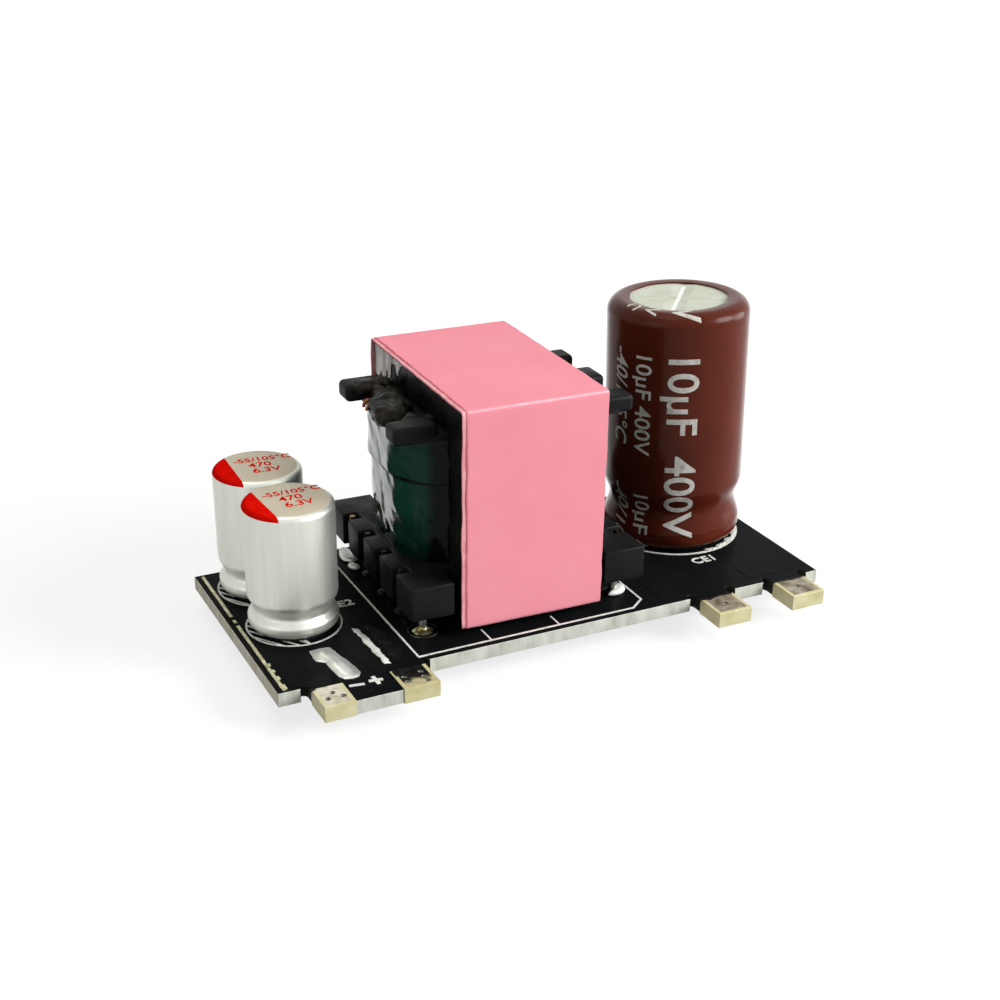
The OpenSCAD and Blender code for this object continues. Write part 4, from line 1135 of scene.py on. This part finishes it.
for name, place in (
    ("mound", on_flange),
    ("on_back_lug", beside_coil(-6.9, 4.3, 14.4, (1.5, 1.0, 0.42))),
    ("by_the_core", beside_coil(-6.0, 2.6, 14.0, (1.0, 1.5, 0.4))),
    ("behind_front_lug", beside_coil(-6.5, -3.3, 14.2, (1.3, 0.9, 0.5))),
):
    drop = bmesh.new()
    bmesh.ops.create_icosphere(drop, subdivisions=5, radius=1.0)
    for v in drop.verts:
        v.co = place(v.co)
    drop.normal_update()
    for v in drop.verts:
        lump = noise(v.co * 0.85) + 0.55 * noise(v.co * 1.9 + Vector((4, 0, 2)))
        v.co += v.normal * LUMPS * lump
    outward(drop)
    settle(drop, f"varnish_{name}", [varnish], crease=180)
burnt_copper = finish(
    "burnt_copper", (0.3, 4.0), (0.35, (78, 36, 18)), (0.65, (150, 92, 56)),
    rough=0.4, metallic=0.5, gloss=0.2,
)


def bent_wire(shape, start, radius, segments, centre, axis, angle, steps, rise=0.0):
    """Bends a round wire about an axis from the place of its first end, and closes both ends."""
    known = set(shape.verts)
    bmesh.ops.create_circle(shape, cap_ends=False, segments=segments, radius=radius, matrix=start)
    section = [v for v in shape.verts if v not in known]
    edges = list({edge for v in section for edge in v.link_edges})
    bmesh.ops.spin(
        shape, geom=section + edges, cent=centre, axis=axis, dvec=(0, 0, rise / steps), angle=angle,
        steps=steps, use_merge=False, use_duplicate=False,
    )
    bmesh.ops.holes_fill(shape, edges=[edge for edge in shape.edges if edge.is_boundary], sides=0)
    outward(shape)


loops = bmesh.new()
for x, y, z, reach, lean in ((11.55, 11.9, 13.75, 0.42, 25), (11.5, 11.3, 13.7, 0.4, -10)):
    axis = Matrix.Rotation(radians(lean), 3, "Z") @ Vector((0, 1, 0))
    start = Matrix.Translation((x - reach, y, z))
    bent_wire(loops, start, LOOP_WIRE_R, 12, (x, y, z), axis, radians(170), 20)
settle(loops, "wire_loops_in_varnish", [burnt_copper], crease=60)
drips = bmesh.new()
film(drips, DRIPS, DRIP_OUT, wander=0.1, seed=3.0)
for v in drips.verts:
    v.co = (CORE_LEFT + 0.02 - v.co.z, v.co.x, v.co.y)
outward(drips)
drips.transform(TURNED)
# The sheet's pale colour is a painted reflection on clear varnish.
varnish_painted_reflection = finish(
    "varnish_painted_reflection", (0.8, 3.0, (1, 1, 0.22)),
    (0.38, (34, 31, 26)), (0.5, (112, 104, 90)), (0.62, (200, 194, 180)), rough=0.18, gloss=0.4,
)
settle(drips, "varnish_drips", [varnish_painted_reflection])

# Transformer pins
# Ten round tinned pins pressed into the rails, each wound with a wire end and soldered.
# The solder climbs the pins in a thin hollow cone, and some joints have run out over the board.
# The fillets are painted almost black as shade, the front fillet and its pad rim are painted pale as highlight
# and glint, and the solder runs are painted near white as a glint.
PIN_R = 0.325
WIRE_R = 0.133
WRAP_LOW = 0.9
WRAP_TURNS = 3
WRAP_PITCH = 0.8
WRAP_RISE = 2 * WIRE_R * WRAP_TURNS * WRAP_PITCH
WRAP_STEPS = 24 * WRAP_TURNS
FILLET_H = 0.45
FILLET_R = 0.85
FRONT_FILLET_R = 0.72
FILLET_SWAY = 0.05
PAD_RIM_R = 1.05
PAD_RIM_W = 0.1
CONE_HOLLOW = 2.2
dress(lead_tin, *[f"transformer_pin_{i}" for i in range(1, 11)])
wrap_tin = finish(
    "dipped_wire", (0.5,), (0.3, (186, 170, 128)), (0.62, (216, 214, 204)),
    rough=(0.18, 0.36, 0.3), metallic=1.0,
)
wraps = bmesh.new()
for pin in pin_spots:
    beside_pin = Matrix.Translation((pin.x + PIN_R + WIRE_R * 0.9, pin.y, WRAP_LOW + WIRE_R))
    start = beside_pin @ Matrix.Rotation(pi / 2, 4, "X")
    sweep = 2 * pi * WRAP_TURNS
    bent_wire(wraps, start, WIRE_R, 10, (pin.x, pin.y, 0), (0, 0, 1), sweep, WRAP_STEPS, WRAP_RISE)
settle(wraps, "wire_ends_on_pins", [wrap_tin], ["pin_wraps"], crease=60)
# The lead-out wires are painted near black as shade, except the back-left one, which keeps the lit amber of
# its enamel.
shaded_lead_copper = finish(
    "lead_copper_painted_shade", (0.4, 4.0), (0.35, (16, 13, 9)), (0.65, (40, 31, 19)), rough=0.4, gloss=0.1,
)
lit_lead_copper = finish(
    "amber_enamel", (0.4, 4.0), (0.35, (92, 72, 26)), (0.65, (156, 132, 64)),
    rough=0.35, metallic=0.4, gloss=0.3,
)
leads_out = merged("winding_lead_outs")
for face in leads_out.faces:
    middle = face.calc_center_median()
    face.material_index = int(middle.x < coil.x and middle.y > coil.y + PIN_PITCH)
lead_looks = [shaded_lead_copper, lit_lead_copper]
settle(leads_out, "lead_out_wires", lead_looks, ["winding_lead_outs"], crease=50)


def solder_cone(shape, centre, lead, foot, low, high):
    """A hollow cone of solder from a wide foot at one height up or down a lead to another."""
    outline = [(lead * 0.9, low), (foot, low + (high - low) * 0.04)]
    for i in range(1, 9):
        t = i / 8
        outline.append((lead + (foot - lead) * (1 - t) ** CONE_HOLLOW, low + (high - low) * (0.08 + 0.92 * t)))
    turned(shape, outline + [(lead * 0.9, high)], centre.xy, 32)


# The fillets under the rails are painted almost black: painted shade on the solder.
fluxed_tin_painted_shade = finish(
    "fluxed_tin_painted_shade", (0.6,), (0.38, (14, 14, 12)), (0.68, (36, 34, 28)), rough=(0.22, 0.4, 0.5), gloss=0.08,
)
# The pad rim, set only round the lit front pin, carries a painted glint.
rim_tin_painted_glint = finish(
    "pad_rim_painted_glint", (0.7,), (0.4, (30, 29, 25)), (0.62, (150, 148, 138)),
    rough=0.35, metallic=0.6, gloss=0.3,
)
# The front fillet's tin is yellowed by flux and painted paler as a highlight.
yellowed_tin_painted_highlight = finish(
    "flux_yellowed_tin_painted_highlight", (0.5,), (0.35, (140, 130, 82)), (0.62, (216, 211, 178)), rough=0.24, metallic=0.8,
)
front_pin = pin_spots[0]
fillets = bmesh.new()
for pin in pin_spots:
    foot = FRONT_FILLET_R if pin == front_pin else FILLET_R
    solder_cone(fillets, pin, PIN_R, foot, 0.0, FILLET_H)
for v in fillets.verts:
    v.co.xy += FILLET_SWAY * Vector((noise(v.co * 1.3), noise(v.co * 1.3 + Vector((5, 5, 5)))))
for face in fillets.faces:
    # The front fillet takes the pale copy as a painted highlight; the others take the painted shade.
    face.material_index = int((face.calc_center_median() - front_pin).xy.length < 1.0)
settle(fillets, "pin_solder_fillets", [fluxed_tin_painted_shade, yellowed_tin_painted_highlight], ["pin_fillets"], crease=60)
pad_rim = bmesh.new()
ring(pad_rim, front_pin.xy, PAD_RIM_R, PAD_RIM_W, -0.01, 0.05, 48)
settle(pad_rim, "pin_pad_rim", [rim_tin_painted_glint])
runs = bmesh.new()
for height, outline in (
    (0.34, ((11.65, 18.3), (11.9, 18.0), (12.0, 17.5), (11.85, 16.7), (12.05, 16.1), (11.6, 15.5),
            (10.85, 15.8), (10.7, 16.7), (11.0, 17.6), (11.2, 18.2))),
    (0.28, ((10.85, 15.7), (11.6, 15.4), (11.65, 14.5), (11.1, 14.3), (10.7, 14.8))),
    (0.5, ((25.7, 2.8), (26.4, 3.15), (26.8, 3.4), (27.05, 3.85), (27.55, 3.85), (27.7, 3.3), (27.4, 2.85),
           (26.9, 2.6), (26.3, 2.6))),
):
    top = plate(runs, outline, 0.0, height * 0.45)
    size = sqrt(top.calc_area())
    for inset, lift in ((0.1, 0.38), (0.12, 0.17)):
        bmesh.ops.inset_region(
            runs, faces=[top], thickness=size * inset, depth=height * lift, use_even_offset=True,
        )
outward(runs)
soft = settle(runs, "solder_runs", [glinting_tin]).modifiers.new("soft", "SUBSURF")
soft.levels = soft.render_levels = 2

# Input capacitor
# A larger aluminium can in a glossy brown shrink sleeve, which folds over the shoulder and leaves
# the scored vent free. The ratings are printed along it in white, with a row of minus signs at the back.
SLEEVE_R = (input_high.x - input_low.x) / 2
SLEEVE_LOW = input_low.z
SLEEVE_TOP = input_high.z
SLEEVE_T = 0.16
SLEEVE_MOUTH = 4.4
VENT_R = 3.62
SKIN_T = 0.1
LIP = ((0.25, 0.005), (0.0, 0.03))
MOUTH_SWAY = 0.09
FOOT_BAND = 1.2
FOOT_SWAY = 0.05
FOOT_PINCH = 0.03
LEAN_ANGLE = radians(1.5)
LEAN_AXIS = Vector((-0.438, -0.899, 0))
LEAN_FOOT = Vector((input_middle.x, input_middle.y, 6.0))
LEAN = (
    Matrix.Translation(LEAN_FOOT) @ Matrix.Rotation(LEAN_ANGLE, 4, LEAN_AXIS)
    @ Matrix.Translation(-LEAN_FOOT)
)
brown = finish(
    "brown_shrink_sleeve", (5.0, 4.0), (0.3, (79, 30, 17)), (0.7, (93, 38, 23)),
    rough=(0.16, 0.28, 1.8), gloss=0.1, dents=[(0.03, 1.6, 3.0, (1, 1, 0.5))],
)
glaze(brown, 0.66, 0.98, 1.5)
whole = can_outline(
    SLEEVE_R, SLEEVE_LOW, SLEEVE_TOP, foot=0.8, shoulder=1.0, waist=2.95, half=(2.05, 1.75), depth=0.43,
    steps=16,
)
skin = [(SLEEVE_MOUTH, SLEEVE_LOW)]
for r, z in whole:
    over_vent = z > SLEEVE_TOP - 0.01 and r < VENT_R
    under_foot = z < SLEEVE_LOW + 0.01 and r < SLEEVE_MOUTH
    if not (over_vent or under_foot):
        skin.append((r, z))
skin += [(VENT_R + beyond, SLEEVE_TOP - drop) for beyond, drop in LIP]
sleeve = bmesh.new()
turned(sleeve, skin, input_middle.xy, 160)
for v in sleeve.verts:
    away = v.co.xy - input_middle.xy
    out = away.normalized()
    if v.co.z > SLEEVE_TOP - 0.2 and away.length < VENT_R + 0.5:
        v.co.xy += out * MOUTH_SWAY * noise((*(out * 2.4), 1.0))
    if v.co.z < SLEEVE_LOW + FOOT_BAND:
        v.co.xy += out * (FOOT_SWAY * noise((*(out * 4), v.co.z * 2)) - FOOT_PINCH)
bmesh.ops.solidify(sleeve, geom=sleeve.faces[:], thickness=SKIN_T)
sleeve.transform(LEAN)
settle(sleeve, "brown_sleeve", [brown], ["input_capacitor_sleeve"], crease=50)

CAN_LID = span("input_capacitor_can")[1].z
SCORE_TURN = Matrix.Rotation(radians(-50), 2)
SCORE_W = 0.09
SCORE_HALF = 3.1
SCORE_DEEP = 0.07
HIGHLIGHT_W = 0.15
HIGHLIGHT_HALF = 3.2
BULGE = 0.07
BULGE_IN = 0.8
LID_SUNK = 0.05
LID_OVER = 0.7
LID_STEPS = 60
vent_metal = finish(
    "vent_aluminium", (1.4, 4.0), (0.3, (198, 203, 185)), (0.7, (214, 217, 204)),
    rough=(0.52, 0.66, 0.5, 4.0), metallic=0.1, gloss=0.08,
)
# One arm of the vent's scored cross is painted near white: a painted highlight along the score.
score_highlight = finish(
    "score_painted_highlight", (0.3,), (0.3, (244, 246, 240)), (0.7, (253, 253, 250)), rough=0.4, metallic=0.2,
)
vent = bmesh.new()
lid = [((VENT_R + LID_OVER) * i / LID_STEPS, CAN_LID) for i in range(LID_STEPS + 1)]
wall = [(r - SLEEVE_T, z) for r, z in reversed(whole) if r > VENT_R + 1.0 and z < CAN_LID - 0.3]
turned(vent, lid + wall + [(0, wall[-1][1])], input_middle.xy, 240)
for v in vent.verts:
    if v.co.z > CAN_LID - 1e-4:
        away = SCORE_TURN @ (v.co.xy - input_middle.xy)
        groove = exp(-(away.x / SCORE_W) ** 2) if abs(away.y) < SCORE_HALF else 0.0
        bulge = BULGE * min(1.0, min(abs(away.x), abs(away.y)) / BULGE_IN)
        v.co.z += bulge - SCORE_DEEP * groove - LID_SUNK
for face in vent.faces:
    middle = face.calc_center_median()
    away = SCORE_TURN @ (middle.xy - input_middle.xy)
    if middle.z > CAN_LID - 0.2 and abs(away.y) < HIGHLIGHT_W and abs(away.x) < HIGHLIGHT_HALF:
        face.material_index = 1
vent.transform(LEAN)
settle(vent, "input_can", [vent_metal, score_highlight], ["input_capacitor_can"], crease=60)

PRINT_T = 0.024
PRINT_START = 0.15
PRINT_END = 0.5
SHRED_RIM = (5.24, 4.95)
SHRED_ARC = range(-88, -16, 3)
PRINT_CUTS = (((0, 1, 0), -2.4, 0.24, 20), ((1, 0, 0), -8.0, 0.25, 64))
sleeve_print = finish(
    "white_sleeve_print", (0.4, 4.0), (0.32, (186, 182, 174)), (0.55, (218, 215, 208)), rough=0.4, gloss=0.4,
)
walk = [Vector(point) for point in reversed(skin)]
reaches = [0.0]
for here, there in zip(walk, walk[1:]):
    reaches.append(reaches[-1] + (there - here).length)


def on_sleeve(down, round_angle, lift):
    """A point on the sleeve, a distance down from its top rim and at an angle round it."""
    k = max(i for i, reach in enumerate(reaches[:-1]) if reach <= max(0.0, min(down, reaches[-1] - 1e-6)))
    part = (down - reaches[k]) / (reaches[k + 1] - reaches[k])
    way = (walk[k + 1] - walk[k]).normalized()
    spot = walk[k].lerp(walk[k + 1], part) + Vector((-way.y, way.x)) * lift
    return (
        input_middle.x + spot.x * cos(round_angle),
        input_middle.y + spot.x * sin(round_angle),
        spot.y,
    )


def laid_on_sleeve(degrees, down):
    """Cuts lettering fine, trims it to the length of the sleeve and bends it round."""
    def worked(letters):
        for axis, start, gap, count in PRINT_CUTS:
            for k in range(count):
                cut(letters, Vector(axis) * (start + gap * k), axis)
        cut(letters, (PRINT_START - down, 0, 0), (1, 0, 0), clear_inner=True)
        cut(letters, (reaches[-1] - PRINT_END - down, 0, 0), (-1, 0, 0), clear_inner=True)
        bmesh.ops.holes_fill(letters, edges=[edge for edge in letters.edges if edge.is_boundary], sides=0)
        for v in letters.verts:
            v.co = on_sleeve(down + v.co.x, radians(degrees) + v.co.y / SLEEVE_R, v.co.z)
    return worked


marks = bmesh.new()
for words, size, degrees, weight, slant, downs in (
    ("400V", 3.2, -118, 0.04, 0.0, (-1.7, 15.2)),
    ("10μF", 3.2, -118, 0.04, 0.0, (7.0, 23.4)),
    ("10μF 400V", 1.8, -150, 0.02, 0.0, (-2.7, 8.0, 18.9)),
    ("-40/105°C", 1.75, -172, 0.015, 0.25, (-2.7, 7.6, 18.2)),
    ("-  -  -  -  -", 4.0, 4, 0.08, 0.0, (9.5,)),
):
    for down in downs:
        bend = laid_on_sleeve(degrees, down)
        lettering(marks, words, size, Matrix.Identity(4), PRINT_T, weight, slant, bend)
outward(marks)
marks.transform(LEAN)
settle(marks, "sleeve_print", [sleeve_print])
arc = [radians(degrees) for degrees in SHRED_ARC]
rim = tuple(
    (input_middle.x + radius * cos(angle), input_middle.y + radius * sin(angle))
    for radius, angles in zip(SHRED_RIM, (arc, arc[::-1])) for angle in angles
)
shreds = bmesh.new()
film(shreds, rim, 0.1, wander=0.22, seed=4.0)
settle(shreds, "sleeve_shreds", [sleeve_print])

# Solder joints
# Every lead is soldered under the board by a wave of molten tin.
# It wets the pad and the wire, and sets in a small bright cone with hollow sides.
SOLDER_H = 0.9
SOLDER_W = 0.6
OUTPUT_LEAD_R = 0.25
tin = finish(
    "bright_tin", (1.1,), (0.3, (198, 200, 192)), (0.6, (228, 229, 224)),
    rough=(0.12, 0.3, 0.8), metallic=1.0, dents=[(0.03, 0.8)],
)
soldered = [(pin, PIN_R) for pin in pin_spots]
for capacitor, radius in (
    ("front_output", OUTPUT_LEAD_R), ("rear_output", OUTPUT_LEAD_R), ("input", INPUT_LEAD_R),
):
    low, high = span(capacitor + "_capacitor_leads")
    soldered += [(Vector((x, (low.y + high.y) / 2)), radius) for x in (low.x + radius, high.x - radius)]
joints = bmesh.new()
for lead, radius in soldered:
    solder_cone(joints, lead, radius, radius + SOLDER_W, under, under - SOLDER_H)
settle(joints, "underside_solder", [tin], ["solder_joints"], crease=60)

# Underside chips
# Epoxy packages and fired chip parts soldered flat to the underside: the bridge rectifier, the control
# chip, the output rectifier and the clamp diode, with three resistors and two capacitors.
MARK_T = 0.04
DOT_IN = 0.8
DOT_R = (0.24, 0.26)
SIGN_IN = 1.4
STRIPE_X = (0.6, 1.05)
STRIPE_IN = 0.25
epoxy = finish(
    "moulded_epoxy", (0.8, 5.0), (0.3, (22, 22, 24)), (0.7, (36, 36, 38)),
    rough=0.6, gloss=0.3, dents=[(0.02, 0.1)],
)
for node in ("bridge_rectifier", "control_chip", "output_rectifier", "clamp_diode"):
    body = merged(node)
    ease(body, 0.04, shortest=0.6)
    settle(body, node + "_body", [epoxy], [node])
    dress(lead_tin, node + "_leads")
laser_grey = finish(
    "laser_mark", (0.2,), (0.3, (108, 108, 104)), (0.7, (134, 134, 130)), rough=0.7, gloss=0.2,
)
chip_marks = bmesh.new()
for node in ("control_chip", "output_rectifier"):
    low, high = span(node)
    stud(chip_marks, (low.x + DOT_IN, low.y + DOT_IN, low.z), *DOT_R, MARK_T, 28)
low, high = span("bridge_rectifier")
for words, x, y in (("+", low.x, low.y), ("-", high.x, low.y), ("~", low.x, high.y), ("~", high.x, high.y)):
    inward = Vector(((low.x + high.x) / 2 - x, (low.y + high.y) / 2 - y)).normalized() * SIGN_IN
    place = Matrix.Translation((x + inward.x, y + inward.y, low.z)) @ UNDERSIDE
    lettering(chip_marks, words, 1.3, place, MARK_T, weight=0.02)
low, high = span("clamp_diode")
left, right = (low.x + x for x in STRIPE_X)
front, back = low.y + STRIPE_IN, high.y - STRIPE_IN
stripe = ((left, front), (right, front), (right, back), (left, back))
slab(chip_marks, stripe, low.z - MARK_T / 2, low.z + MARK_T / 2, 0.01, 1)
settle(chip_marks, "chip_marks", [laser_grey])
overcoat = finish("resistor_overcoat", (0.6,), (0.3, (18, 18, 21)), (0.7, (32, 32, 36)), rough=0.35)
fired = finish("fired_chip_ceramic", (0.5, 4.0), (0.3, (142, 108, 78)), (0.7, (174, 142, 110)), rough=0.5)
for node, look, slot in (
    ("chip_resistors", overcoat, "resistor_ceramic"), ("chip_capacitors", fired, "capacitor_ceramic"),
    ("chip_end_caps", tin, "tin"),
):
    bodies = merged(node)
    ease(bodies, 0.05, shortest=0.2)
    settle(bodies, node + "_fired", [look], [node])
